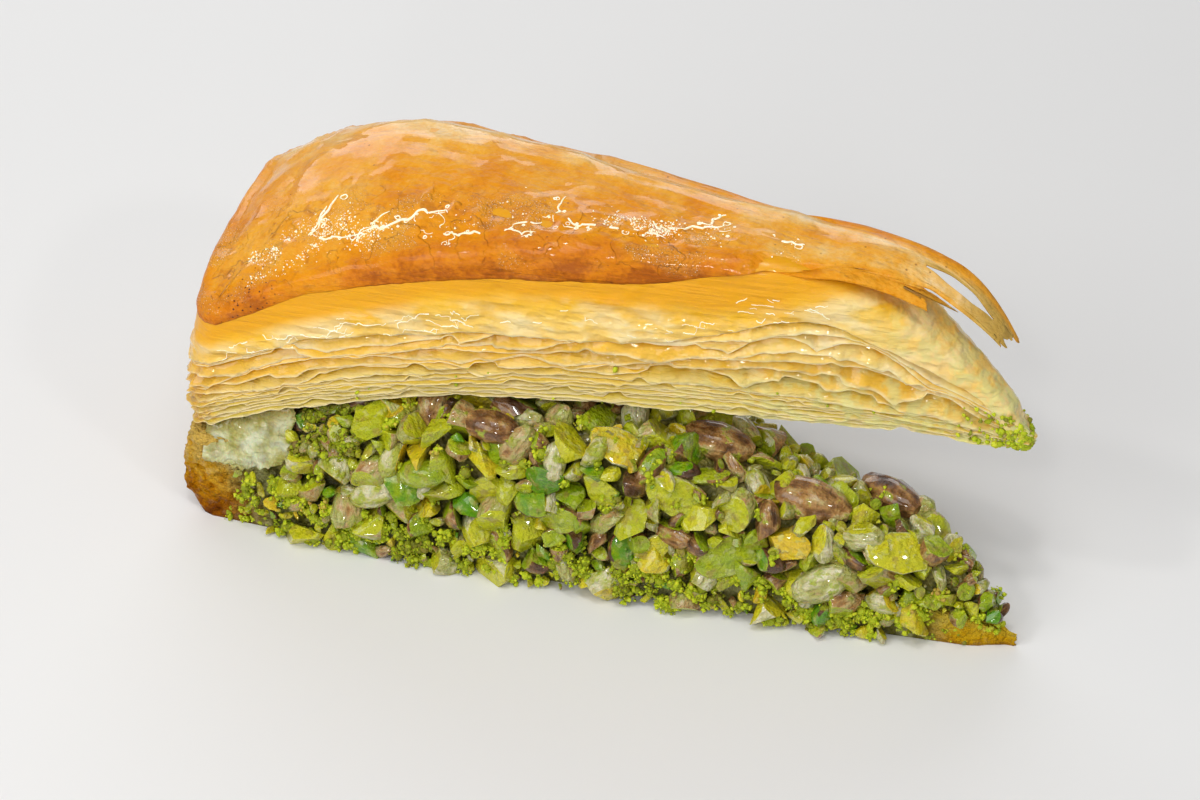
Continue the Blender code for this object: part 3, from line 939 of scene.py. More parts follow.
def make_wet_lines(leaf, finish):
    """Short squiggles where syrup stands in the creases of the pale leaf under the crust."""
    rng = np.random.default_rng(47)
    lines, x = [], 7.0
    while x < 112:
        length = 1 + 5 * rng.random() ** 2
        run = np.linspace(0, length, int(14 * length) + 8)
        seed = 300 + 2 * len(lines)
        at = x + run + 0.5 * waves(run / 0.8, seed=seed)
        height = lip_share(BODY_LIP, x) + rng.uniform(0.03, 0.2)
        z = underside(at) + height * (near_edge(at) - underside(at))
        z = z + rng.normal(0, 0.3) * run + 0.5 * waves(run / 0.8, seed=seed + 1)
        points = np.stack([at + end_shift(at, -25 + 0 * at, z), lid_sides(at)[0] - 1.5, z], 1)
        lines.append((points, run, rng.uniform(0.06, 0.16)))
        x += rng.exponential(1.9)
    bead_lines("wet_lines", lines, leaf, finish)


def make_syrup(crust, finish):
    """Thin beads where the syrup's edge has dried along the lid's near shoulder, and bubbles."""
    rng = np.random.default_rng(41)
    paths = []
    for i, (start, end, stray) in enumerate(syrup_trails(rng)):
        x, y, run = syrup_path(start, end, stray, 131 + 5 * i)
        thick = rng.uniform(0.14, 0.3)
        paths.append((x, y, run, thick * np.sin(np.pi * run / run[-1]) ** 0.3))
        for k in rng.integers(len(x), size=2 + int(run[-1] / 4)):
            size, near = 0.12 + 0.4 * rng.random() ** 3, rng.normal(0, 0.9, 2)
            ring = syrup_ring(x[k] + near[0], y[k] + near[1], size, 200 + int(k))
            paths.append((*ring, 0.7 * thick + 0 * ring[2]))
    lines = []
    for x, y, run, thick in paths:
        low, high = lid_sides(x)
        share = (y - low) / (high - low)
        z = lid_top(x, np.clip(share, 0, 1)) - 1.6 * (1 - ease(0, 0.08, share))
        lines.append((np.stack([x + end_shift(x, y, z), y, z], 1), run, thick))
    bead_lines("syrup_beads", lines, crust, finish)


def make_froth(crust, finish):
    """Patches of tiny syrup bubbles that have set along the lid's near shoulder."""
    rng = np.random.default_rng(43)
    x = rng.uniform(9, 112, 16000)
    share = 0.10 + 0.22 * x / LIFT_FROM + rng.normal(0, 0.06, len(x))
    patch = rough(x / 8, share * 7, seed=45) + 0.25 * rng.normal(size=len(x))
    kept = (patch > 0.42) & (share > 0.02)
    x, share = x[kept][:3600], share[kept][:3600]
    low, high = lid_sides(x)
    y = low + (high - low) * share
    z = lid_top(x, share)
    places = (np.stack([x + end_shift(x, y, z), y, z], 1) + FOOT) * MM
    spots = np.array([crust.closest_point_on_mesh(Vector(place))[1] for place in places])
    sizes = 0.06 + 0.2 * rng.random(len(x)) ** 3
    strew("syrup_froth", [grain_shape(rng) for k in range(3)], spots / MM - FOOT, sizes, rng, finish,
          "pastry_lid", np.full(len(x), 0.5))


def ridge_zone(shares):
    """1 along the near shoulder of the lid, where the syrup froths, fading to 0."""
    return ease(0.0, 0.1, shares) * (1 - ease(0.26, 0.5, shares))


def make_body_leaf(finish):
    """The leaf under the crust, which covers the lid to its tip."""
    edge = Edge(330)
    ragged = 0.35 * rough(edge.run / 2.6, seed=33) + 0.9 * np.abs(waves(edge.run / 15, seed=34))
    ragged = ragged + 0.8 * waves(edge.run / 6.5, seed=37)
    share = lip_share(BODY_LIP, edge.x) * (1 - 0.6 * ease(138, 146, edge.x))
    lip_z = edge.under + (edge.top - edge.under) * share + ragged * edge.narrow
    points, shares, away = cover_table(edge, lip_z, sink=BODY_SINK, rows=14, skirt=34)
    x, y, z = (points[..., k] for k in range(3))
    rise = np.clip((z - edge.under[:, None]) / (edge.top - edge.under)[:, None], 0, 1)
    pale = 1 - ease(0.58, 0.78, rise)
    calm = 1 - 0.6 * ease(92, 116, x)
    wet = 0.55 * ridged(x / 6.5, y / 6.5, z / 2.0, seed=72)
    wet = wet + 0.4 * rough(x / 2.6, y / 3, z / 1.2, seed=73)
    flakes = 0.55 * ridged(x / 3, y / 2.2, z / 1.6, seed=74) * ease(116, 136, x)
    bumps = lid_bumps(x, y, z) + (0.03 + 0.85 * pale * calm) * wet + flakes * (1 - 0.5 * ease(0.7, 1, rise))
    points = torn_tip(points + away * (bumps * edge.narrow[:, None])[..., None])
    points[-1] = points[0]
    columns, rows = points.shape[:2]
    right = ease(92, 132, x)
    leaf = add_piece(
        "lid_amber_leaf", points, grid_faces(columns, rows), finish, "pastry_lid",
        values={
            "rise": rise + 0.03 - 0.46 * right * ease(0.4, 0.9, rise),
            # on the pale wet part the lip value follows the wrinkles: painted shade in their valleys,
            # painted highlight on their crests
            "lip": np.where(np.arange(rows) == 0, 1.0, 0.82 + (0.3 * wet - 0.06) * pale),
            "crusty": 0.6 * (1 - ease(1.5, 7, x)),
            "dusted": 0.7 * ease(108, 140, x) + 0.3 * ease(140, 147, x),
        },
    )
    mend(leaf)
    thicken(leaf, 0.45)
    return leaf


# ---- Lid: stacked leaves ---------------------------------------------------------------------
# each fine leaf: height of its lip as a share of the lid, thickness and waviness
FINE_LEAVES = [(0.004 + 0.021 * i, 0.26, 0.45) for i in range(9)]
# each broad leaf: its share at the wide end, in the middle and near the tip, then its thickness
BROAD_LEAVES = [(0.20, 0.195, 0.225, 0.28), (0.25, 0.23, 0.30, 0.3), (0.30, 0.265, 0.375, 0.32),
                (0.35, 0.305, 0.45, 0.34), (0.40, 0.345, 0.52, 0.36), (0.45, 0.385, 0.59, 0.4)]
BODY_LIP = (0.50, 0.425, 0.65)
CRUST_LIP = (0.84, 0.79, 0.87)
LEAF_DEPTH = 5.0


def lip_share(at, x):
    """A lip's share of the lid's height at x, from its three shares along the slice."""
    return along(((4, at[0]), (24, at[0] * 0.92 + at[1] * 0.08), (58, at[1]), (84, at[1]),
                  (108, at[2]), (140, at[2])), x)


def lip_heights(edge):
    """Heights of all the lips round the lid, each above the one below it."""
    total = edge.top - edge.under
    run, x = edge.run, edge.x
    narrow = edge.narrow
    heights = []
    for i, (share, thick, stray) in enumerate(FINE_LEAVES):
        swell = waves(run / 21, i * 0.3, seed=81) + 0.6 * waves(run / 7, i * 0.8, seed=82)
        tattered = waves(run / 2.6, i * 1.7, seed=83) + 0.7 * waves(run / 1.2, i * 1.7, seed=84)
        notch = 0.9 * ease(0.35, 0.6, waves(run / 4.5, i * 3.1, seed=89))
        line = edge.under + total * share + (stray * swell + 0.26 * tattered + notch) * narrow
        if heights:
            line = np.maximum(line, heights[-1] + thick * 0.6 + 0.04)
        heights.append(line)
    arching = (1.5 + 0.6 * ease(86, 108, x)) * (1 - 0.6 * ease(132, 146, x))
    for i, (*shares, thick) in enumerate(BROAD_LEAVES):
        swell = waves(run / 27, i * 0.35, seed=85) + 0.5 * waves(run / 9, i * 0.9, seed=86)
        arch = 2.2 * np.abs(waves(run / 15, i * 2.3, seed=87)) ** 0.8 - 0.7
        tattered = 0.2 * waves(run / 2.1, i * 1.7, seed=88) + 0.12 * waves(run / 0.9, i * 2.1, seed=92)
        tattered = tattered + 1.1 * ease(0.4, 0.62, waves(run / 6, i * 3.3, seed=90))
        line = edge.under + total * lip_share(shares, x)
        line = line + (1.0 * swell + arching * arch + tattered) * narrow
        heights.append(np.maximum(line, heights[-1] + thick * 0.5 + 0.03))
    line = edge.under + total * lip_share(BODY_LIP, x) + 0.4
    heights.append(np.maximum(line, heights[-1] + 0.5))
    return heights


def leaf_table(edge, low, high, thick, seed, steps):
    """Closed section of one leaf at every column: its upper side, then its lower side."""
    gap = np.clip(high - low, 0.2, 8)
    depth = np.minimum(LEAF_DEPTH, 0.42 * edge.width)
    lean = np.clip(0.55 * gap, 0.25, 2.2)
    stand = 0.75 * waves(edge.run / 11, seed=seed) + 0.45 * rough(edge.run / 2.6, seed=seed + 1)
    flaky = 0.9 * rough(edge.run / 1.5, seed=seed + 4) * (1 - ease(3, 14, edge.x))
    stand = (stand + flaky - 0.1) * ease(0, 10, edge.width)
    curl = 0.12 + 0.14 * gap * (0.5 + 0.5 * waves(edge.run / 7, seed=seed + 2))
    back = np.array([1.6, 1.0, 0.62, 0.3, 0.1, 0.0])[-(steps - 1):]
    up = np.array([1.02, 0.9, 0.72, 0.46, 0.2, 0.0])[-(steps - 1):]
    out = np.concatenate([-depth[:, None], stand[:, None] - lean[:, None] * back], 1)
    z = np.concatenate([(low + gap + 0.2)[:, None], low[:, None] + gap[:, None] * up], 1)
    out[:, -1] += curl
    crumple = rough(edge.run[:, None] / 3.0, z / 1.2, seed=seed + 3)
    crumple = crumple + 0.7 * ridged(edge.run[:, None] / 5, z / 2.5, seed=seed + 5)
    out[:, 1:] += (0.07 + 0.13 * gap)[:, None] * crumple[:, 1:] * edge.narrow[:, None]
    out = np.where(out > 0.9, 0.9 + 0.3 * (out - 0.9), out)
    out = np.maximum(out, -depth[:, None] * np.linspace(1, 0.0, steps)[None] ** 0.5)
    run_out, run_z = np.gradient(out, axis=1), np.gradient(z, axis=1)
    size = np.maximum(np.hypot(run_out, run_z), 1e-6)
    taper = np.linspace(1, 0.55, steps)
    under_out = out - thick * taper * (-run_z / size)
    under_z = z - thick * taper * (run_out / size)
    section_out = np.concatenate([out, under_out[:, ::-1]], 1)
    section_z = np.concatenate([z, under_z[:, ::-1]], 1)
    section_out = section_out - (0.7 * ease(136, 146, edge.x))[:, None]
    table = torn_tip(at_edge(edge, section_out, section_z))
    table[-1] = table[0]
    return table


def make_leaves(name, edge, heights, chosen, finish, steps):
    tables, faces, rise, lip, start = [], [], [], [], 0
    leaves = FINE_LEAVES + BROAD_LEAVES
    for i in chosen:
        *shares, thick = leaves[i] if len(leaves[i]) == 4 else leaves[i][:2]
        share = shares[0]
        table = leaf_table(edge, heights[i], heights[i + 1], thick, 100 + 7 * i, steps)
        columns, rows = table.shape[:2]
        faces.append(grid_faces(columns, rows, close_rows=True, first=start))
        start += columns * rows
        tables.append(table.reshape(-1, 3))
        across = np.concatenate([np.linspace(0, 1, steps), np.linspace(1, 0, steps)])
        lip.append(np.broadcast_to(across, (columns, rows)).ravel())
        level = (heights[i] - edge.under) / (edge.top - edge.under)
        rise.append(np.repeat(level, rows))
    points = np.concatenate(tables)
    crusty = 0.75 * (1 - ease(2.5, 9, points[:, 0]))
    dusted = np.maximum(ease(132, 147, points[:, 0]), 0.75 * ease(70, 120, points[:, 0]))
    dusted = dusted * (1 - 0.7 * ease(0.1, 0.5, np.concatenate(rise)))
    made = add_piece(
        name, points, np.concatenate(faces), finish, "pastry_lid",
        values={"rise": np.concatenate(rise), "lip": np.concatenate(lip), "crusty": crusty,
                "dusted": dusted},
    )
    mend(made)
    return made


def loft_piece(name, rings, finish, node, values=None):
    """A closed piece through rings of points, with fanned ends."""
    count, size = rings.shape[:2]
    points = np.concatenate([rings.reshape(-1, 3), rings[0].mean(0)[None], rings[-1].mean(0)[None]])
    sides = grid_faces(count, size, close_rows=True)
    i = np.arange(size)
    j = (i + 1) % size
    tris = np.concatenate([sides[:, [0, 1, 2]], sides[:, [0, 2, 3]]])
    first = np.stack([i, j, np.full(size, count * size)], 1)
    last = np.stack([i, j, np.full(size, count * size + 1)], 1)
    last[:, :2] += (count - 1) * size
    made = add_piece(name, points, np.concatenate([tris, first, last]), finish, node, values)
    mend(made)
    return made


def make_lid_core(finish):
    """The closed-up heart of the lid, set back behind the leaves' lips."""
    rings = []
    for x in np.linspace(3.6, 141, 90):
        low, high = lid_sides(x)
        back = min(3.6, 0.36 * (high - low))
        low, high = low + back, high - back
        under = underside(x) + 0.25
        across = np.linspace(low, high, 12)
        share = (across - lid_sides(x)[0]) / (lid_sides(x)[1] - lid_sides(x)[0])
        roof = np.maximum(lid_top(x, share) - 2.2, under + 0.4)
        wall = np.linspace(under, roof[-1], 8)[1:-1]
        other = np.linspace(roof[0], under, 8)[1:-1]
        y = np.concatenate([across, np.full(6, high), across[::-1], np.full(6, low)])
        z = np.concatenate([np.full(12, under), wall, roof[::-1], other])
        z = z + 0.35 * rough(x / 6, y / 6, seed=91) * (np.arange(len(z)) < 12)
        rings.append(np.stack([x + end_shift(x, y, z), y, z], 1))
    return loft_piece("lid_core", np.array(rings), finish, "pastry_lid")


# ---- Filling ---------------------------------------------------------------------------------
def make_heap_core(finish):
    rings = []
    for x in np.linspace(8.6, 147, 150):
        half = (half_width(x, TIP_WIDTH, BASE_BELLY) - 1.3) * (1 - 0.3 * ease(139, 147, x))
        floor = base_top(x) - 0.3
        crest = max(min(bed_crest(x), underside(x) - 0.35) - 2.3 * ease(20, 40, x) - 0.6, floor + 0.6)
        angle = np.linspace(0, np.pi, 34)
        y = -half * np.sign(np.cos(angle)) * np.abs(np.cos(angle)) ** 0.45
        z = floor + (crest - floor) * np.sin(angle) ** 0.5
        lumps = 1.1 * rough(x / 4.5, y / 4.5, z / 4.5, seed=95, octaves=3)
        grow = 1 + lumps / np.maximum(half, 6)
        y = y * grow
        z = np.minimum(z + 0.6 * lumps * np.sin(angle), underside(x) - 0.6)
        rings.append(np.stack([np.full(34, x), y, z], 1))
    return loft_piece("filling_paste_and_gap_shade", np.array(rings), finish, "pistachio_filling")


def heap_samples(count, rng):
    """Random places on the outside of the filling, with their normals."""
    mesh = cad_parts["pistachio_filling"].data
    mesh.calc_loop_triangles()
    corners = np.empty(len(mesh.loop_triangles) * 3, np.int32)
    mesh.loop_triangles.foreach_get("vertices", corners)
    places = np.empty(len(mesh.vertices) * 3)
    mesh.vertices.foreach_get("co", places)
    places = places.reshape(-1, 3) / MM - FOOT
    tri = places[corners.reshape(-1, 3)]
    normal = np.cross(tri[:, 1] - tri[:, 0], tri[:, 2] - tri[:, 0])
    area = np.linalg.norm(normal, axis=1)
    normal = normal / np.maximum(area, 1e-9)[:, None]
    outside = np.sign(tri[:, :, 1].mean(1)) * normal[:, 1]
    keep = (normal[:, 2] > 0.25) | ((outside > 0.1) & (normal[:, 2] > -0.5)) | (normal[:, 0] > 0.6)
    keep &= tri[:, :, 0].mean(1) > 9.0
    chosen = rng.choice(np.nonzero(keep)[0], count, p=area[keep] / area[keep].sum())
    a, b = rng.random((2, count, 1))
    a, b = np.where(a + b > 1, 1 - a, a), np.where(a + b > 1, 1 - b, b)
    corner = tri[chosen]
    spot = corner[:, 0] + a * (corner[:, 1] - corner[:, 0]) + b * (corner[:, 2] - corner[:, 0])
    return spot, normal[chosen]


def spin(rng, count):
    """Random turns, as matrices."""
    q = rng.normal(size=(count, 4))
    q /= np.linalg.norm(q, axis=1)[:, None]
    w, x, y, z = q.T
    return np.stack([
        1 - 2 * (y * y + z * z), 2 * (x * y - z * w), 2 * (x * z + y * w),
        2 * (x * y + z * w), 1 - 2 * (x * x + z * z), 2 * (y * z - x * w),
        2 * (x * z - y * w), 2 * (y * z + x * w), 1 - 2 * (x * x + y * y),
    ], 1).reshape(-1, 3, 3)


def packed(spots, sizes, closeness, taken=None):
    """Chooses places, largest first, so that pieces touch but hardly overlap."""
    centres = [] if taken is None else [taken[0]]
    radii = [] if taken is None else [taken[1]]
    kept = []
    held_c = np.concatenate(centres) if centres else np.empty((0, 3))
    held_r = np.concatenate(radii) if radii else np.empty(0)
    for i in np.argsort(-sizes, kind="stable"):
        away = np.linalg.norm(held_c - spots[i], axis=1)
        if len(away) and np.any(away < closeness * (held_r + sizes[i])):
            continue
        held_c = np.vstack([held_c, spots[i]])
        held_r = np.append(held_r, sizes[i])
        kept.append(i)
    return np.array(kept)


def raw_shape(made):
    """A modelled kind's points, triangles and slots, after which the kind itself is removed."""
    mesh = made.data
    mesh.calc_loop_triangles()
    tris = np.empty(len(mesh.loop_triangles) * 3, np.int32)
    mesh.loop_triangles.foreach_get("vertices", tris)
    owner = np.empty(len(mesh.loop_triangles), np.int32)
    mesh.loop_triangles.foreach_get("polygon_index", owner)
    slots = np.empty(len(mesh.polygons), np.int32)
    mesh.polygons.foreach_get("material_index", slots)
    points = np.empty(len(mesh.vertices) * 3)
    mesh.vertices.foreach_get("co", points)
    points = points.reshape(-1, 3)
    bpy.data.objects.remove(made)
    return points, tris.reshape(-1, 3), slots[owner]


def kernel_shape(rng, cuts=0, stations=(12, 8), keep=0.3, breadth=0.54, split=False, peeled=False):
    """A pistachio kernel one unit from middle to end, with flat breaks through it."""
    pick_none()
    bpy.ops.mesh.primitive_uv_sphere_add(segments=stations[0], ring_count=stations[1], radius=1.0)
    made = bpy.context.active_object
    made.data.materials.append(bpy.data.materials["pistachio_skin"])
    made.data.materials.append(bpy.data.materials["pistachio_flesh"])
    bpy.ops.object.mode_set(mode="EDIT")
    bpy.ops.mesh.select_all(action="SELECT")
    bpy.ops.transform.resize(value=(breadth, breadth * 0.92, 1.0))
    if peeled:
        made.active_material_index = 1
        bpy.ops.object.material_slot_assign()
    planes = [
        (Vector(rng.normal(size=3)).normalized(), rng.uniform(0.3 * keep, keep)) for k in range(cuts)
    ]
    if split:
        end = Vector((0, 0.3, 1)).normalized()
        planes += [(Vector((0, 1, 0)), 0.06), (end, rng.uniform(0.5, 0.8))]
    for away, distance in planes:
        bpy.ops.mesh.select_all(action="SELECT")
        bpy.ops.mesh.bisect(
            plane_co=away * float(distance), plane_no=away, use_fill=True, clear_outer=True
        )
        made.active_material_index = 1
        bpy.ops.object.material_slot_assign()
    bpy.ops.mesh.select_all(action="SELECT")
    bpy.ops.mesh.remove_doubles(threshold=0.02)
    bpy.ops.mesh.normals_make_consistent(inside=False)
    bpy.ops.object.mode_set(mode="OBJECT")
    if planes:
        edge = made.modifiers.new("worn_edges", "BEVEL")
        edge.width = 0.07
        edge.segments = 1
        edge.limit_method = "ANGLE"
        edge.angle_limit = math.radians(35)
        bpy.ops.object.modifier_apply(modifier=edge.name)
    points, tris, slots = raw_shape(made)
    if not split and cuts:
        points = points - points.mean(0)
    dents = 0.11 * waves(*(points.T * 3.4), seed=int(rng.integers(1000)))
    points = points * (1 + dents)[:, None]
    return points / np.linalg.norm(points, axis=1).max(), tris, slots


def laid(normals, degrees):
    """Turns that lay a kernel flat on the heap, its length at that angle up from the slice's."""
    ahead = np.cross([0.0, 1.0, 0.0], normals)
    flat = np.cross(normals, np.cross([1.0, 0.0, 0.0], normals))
    flat /= np.linalg.norm(flat, axis=1)[:, None]
    up = np.cross(normals, flat)
    angle = np.radians(degrees)[:, None]
    length = np.cos(angle) * flat + np.sin(angle) * up
    return np.stack([np.cross(normals, length), normals, length], 2)


def pick_none():
    bpy.ops.object.select_all(action="DESELECT")


def grain_shape(rng):
    """A crumb: a lumpy ball of few faces."""
    pick_none()
    bpy.ops.mesh.primitive_ico_sphere_add(subdivisions=1, radius=1.0)
    made = bpy.context.active_object
    bpy.ops.object.mode_set(mode="EDIT")
    bpy.ops.mesh.select_all(action="SELECT")
    bpy.ops.transform.resize(value=tuple(rng.uniform(0.6, 1.0, 3)))
    bpy.ops.object.mode_set(mode="OBJECT")
    points, tris, slots = raw_shape(made)
    points = points * (1 + 0.4 * rng.uniform(-1, 1, len(points)))[:, None]
    return points, tris, slots


KERNEL_AXES = ("kernel_x", "kernel_y", "kernel_z")
# nothing strewn stands out further than this from the slice's middle
STREW_REACH = WIDE_END / 2 + 2.3


def strew(name, kinds, spots, sizes, rng, finish, node, tones, sharp=None, turns=None,
          which=None):
    """Copies of the kinds at the spots, each turned at random, joined into one piece."""
    turns = spin(rng, len(spots)) if turns is None else turns
    which = rng.integers(len(kinds), size=len(spots)) if which is None else which
    points, faces, slots, tone, local, start = [], [], [], [], [], 0
    for k, (shape, tris, tri_slots) in enumerate(kinds):
        mine = np.nonzero(which == k)[0]
        if not len(mine):
            continue
        placed = np.einsum("nij,vj->nvi", turns[mine], shape) * sizes[mine][:, None, None]
        placed = placed + spots[mine][:, None]
        placed[..., 1] = np.clip(placed[..., 1], -STREW_REACH, STREW_REACH)
        placed[..., 2] = np.maximum(placed[..., 2], 0.0)
        points.append(placed.reshape(-1, 3))
        offset = start + np.arange(len(mine))[:, None, None] * len(shape)
        faces.append((tris[None] + offset).reshape(-1, 3))
        slots.append(np.tile(tri_slots, len(mine)))
        tone.append(np.repeat(tones[mine], len(shape)))
        local.append(np.tile(shape, (len(mine), 1)) + 9 * tone[-1][:, None])
        start += len(mine) * len(shape)
    return add_piece(
        name, np.concatenate(points), np.concatenate(faces), finish, node,
        values={"tone": np.concatenate(tone), **dict(zip(KERNEL_AXES, np.concatenate(local).T))},
        sharp=sharp, face_slots=np.concatenate(slots),
    )


def under_lid(spots, sizes):
    """Keeps pieces below the lid and inside the slice's outline."""
    roof = underside(spots[:, 0]) + 0.2 - sizes * 0.8
    spots[:, 2] = np.minimum(spots[:, 2], np.where(spots[:, 0] < 100, roof, 99))
    return spots


BIG_COUNT = 34
# chances of each kind among the biggest pieces, on the crown and on the cut faces
BIG_KINDS = ("whole", "half", "peeled", "sliver")
CROWN_CHANCES, FACE_CHANCES = (0.42, 0.36, 0.07, 0.15), (0.36, 0.44, 0.2, 0.0)


def biggest(surface, facing_out, rng):
    """The biggest pieces, well apart. The very biggest lie on the crown, clear of the arch."""
    room = (surface[:, 0] > 25) & (surface[:, 0] < 136) & (surface[:, 2] > base_top(surface[:, 0]) + 4)
    pool = rng.choice(np.nonzero(room)[0], 6 * BIG_COUNT, replace=False)
    clear = np.exp(-(((surface[pool, 0] - 0.74 * SLICE_LENGTH) / 18) ** 2)) * facing_out[pool, 2]
    pool = pool[np.argsort(-(clear + 0.3 * rng.random(len(pool))))]
    sizes = 3.8 + 4.0 * np.linspace(1, 0, len(pool)) ** 2.5
    kept = packed(surface[pool], sizes, 1.0)[:BIG_COUNT]
    pool, sizes = pool[kept], sizes[kept]
    crown = facing_out[pool, 2] > 0.6
    which = np.where(
        crown, rng.choice(4, BIG_COUNT, p=CROWN_CHANCES), rng.choice(4, BIG_COUNT, p=FACE_CHANCES)
    )
    skinned = crown & ((which == 0) | (which == 3))
    which[:2], skinned[:2] = 0, True
    tones = np.where(skinned, rng.uniform(0.08, 0.34, BIG_COUNT), rng.uniform(0.15, 0.95, BIG_COUNT))
    angles = np.where(crown, rng.normal(0, 22, BIG_COUNT), rng.normal(48, 34, BIG_COUNT))
    return pool, sizes, which, tones, angles


def make_nuts(finishes):
    rng = np.random.default_rng(11)
    surface, facing_out = heap_samples(14000, rng)
    shapes = {
        "whole": kernel_shape(rng, 1, keep=0.8), "half": kernel_shape(rng, split=True),
        "peeled": kernel_shape(rng, peeled=True, breadth=0.6),
        "sliver": kernel_shape(rng, 1, keep=0.9, breadth=0.26),
    }
    places, big_size, which, tones, angles = biggest(surface, facing_out, rng)
    big, big_out = surface[places], facing_out[places]
    big = big - big_out * (0.12 * big_size)[:, None]
    strew(
        "pistachio_kernels", [shapes[kind] for kind in BIG_KINDS], big, big_size, rng, finishes,
        "pistachio_filling", tones, sharp=38, turns=laid(big_out, angles), which=which,
    )
    kinds = [
        kernel_shape(rng, cuts, keep=keep, peeled=bare)
        for cuts, keep, bare in (
            (3, 0.5, False), (4, 0.5, False), (2, 0.45, False), (5, 0.5, False), (6, 0.45, True),
            (8, 0.5, True), (3, 0.5, False), (5, 0.55, False), (3, 0.45, False), (7, 0.45, True),
            (9, 0.5, True), (4, 0.4, False),
        )
    ]
    spots, normals = surface, facing_out
    sizes = np.clip(rng.gamma(6.0, 0.52, len(spots)), 1.7, 5.0) * (1 - 0.14 * ease(70, 100, spots[:, 0]))
    crumb_line = base_top(spots[:, 0]) + 1.5 + 2.5 * waves(spots[:, 0] / 14, seed=12)
    crumb_line = crumb_line - 3.0 * ease(96, 120, spots[:, 0])
    low = spots[:, 2] < crumb_line + sizes * 0.5
    pasty = (spots[:, 0] < 32 + 6 * waves(spots[:, 2] / 5, seed=13)) & (spots[:, 2] > 19)
    gone = (low & (rng.random(len(spots)) < 0.95)) | (pasty & (sizes > 2.4)) | (spots[:, 0] < 20)
    gone |= (spots[:, 0] > 137) & (sizes > 2.4)
    spots, normals, sizes = spots[~gone], normals[~gone], sizes[~gone]
    spots = spots - normals * (sizes * 0.3)[:, None]
    kept = packed(spots, sizes, 0.5, (big, big_size * 0.7))
    spots, sizes = under_lid(spots[kept], sizes[kept]), sizes[kept]
    tones = np.clip(rng.normal(0.50, 0.25, len(spots)), 0, 1)
    strew(
        "chopped_pistachios", kinds, spots, sizes, rng, finishes, "pistachio_filling",
        tones, sharp=38,
    )
    bits = [kernel_shape(rng, 4, (8, 5), peeled=k % 2 == 0) for k in range(8)]
    more, normals = heap_samples(9000, rng)
    small = rng.uniform(0.6, 1.7, len(more))
    more = more - normals * (0.8 * rng.random(len(more)) + small * 0.3)[:, None]
    kept = packed(
        more, small, 0.75, (np.concatenate([spots, big]), np.concatenate([sizes * 0.75, big_size * 0.55]))
    )
    kept = kept[(more[kept, 0] > 21) | (more[kept, 2] < 13) | (more[kept, 1] > 0)]
    more, small = under_lid(more[kept], small[kept]), small[kept]
    strew(
        "pistachio_bits", bits, more, small, rng, finishes, "pistachio_filling",
        np.clip(rng.normal(0.5, 0.25, len(more)), 0, 1), sharp=40,
    )
    return len(spots), len(more)


def hang_of(spots):
    """How far a tuft of crumbs stands out from the filling."""
    return 1.3 * np.maximum(rough(spots[:, 0] / 4, spots[:, 1] / 4, seed=26), -0.2)


def ball_shape(rng):
    """A clump: a knobbly ball for the crumbs to sit on."""
    pick_none()
    bpy.ops.mesh.primitive_ico_sphere_add(subdivisions=2, radius=1.0)
    points, tris, slots = raw_shape(bpy.context.active_object)
    return points * (1 + 0.2 * waves(*(points.T * 2.2), seed=5))[:, None], tris, slots


def strays(rng):
    """Places past both ends of the filling that crumbs have spread to, with their normals."""
    x = np.concatenate([rng.uniform(7, 24, 80), rng.uniform(108, 144, 150)])
    side = np.where(rng.random(len(x)) < 0.6, -1, 1)
    high = np.where(x < 60, 12 * ease(3, 20, x), 4 - 2 * ease(128, 144, x))
    z = 0.6 + high * rng.random(len(x)) ** 1.4
    point = 1 - 0.45 * ease(141, 150, x)
    rim = np.stack([x, side * (half_width(x, TIP_WIDTH, BASE_BELLY) * point - 0.4), z], 1)
    x = rng.uniform(132, 147, 70)
    y = rng.uniform(-1, 1, len(x)) * (half_width(x, TIP_WIDTH, BASE_BELLY) - 0.6)
    tip = np.stack([x, y, base_top(x) * (1 - 0.4 * ease(141, 150, x))], 1)
    faces = np.stack([0 * side, side, 0 * side], 1).astype(float)
    up = np.tile([0.0, 0.0, 1.0], (len(tip), 1))
    return np.concatenate([rim, tip]), np.concatenate([faces, up])


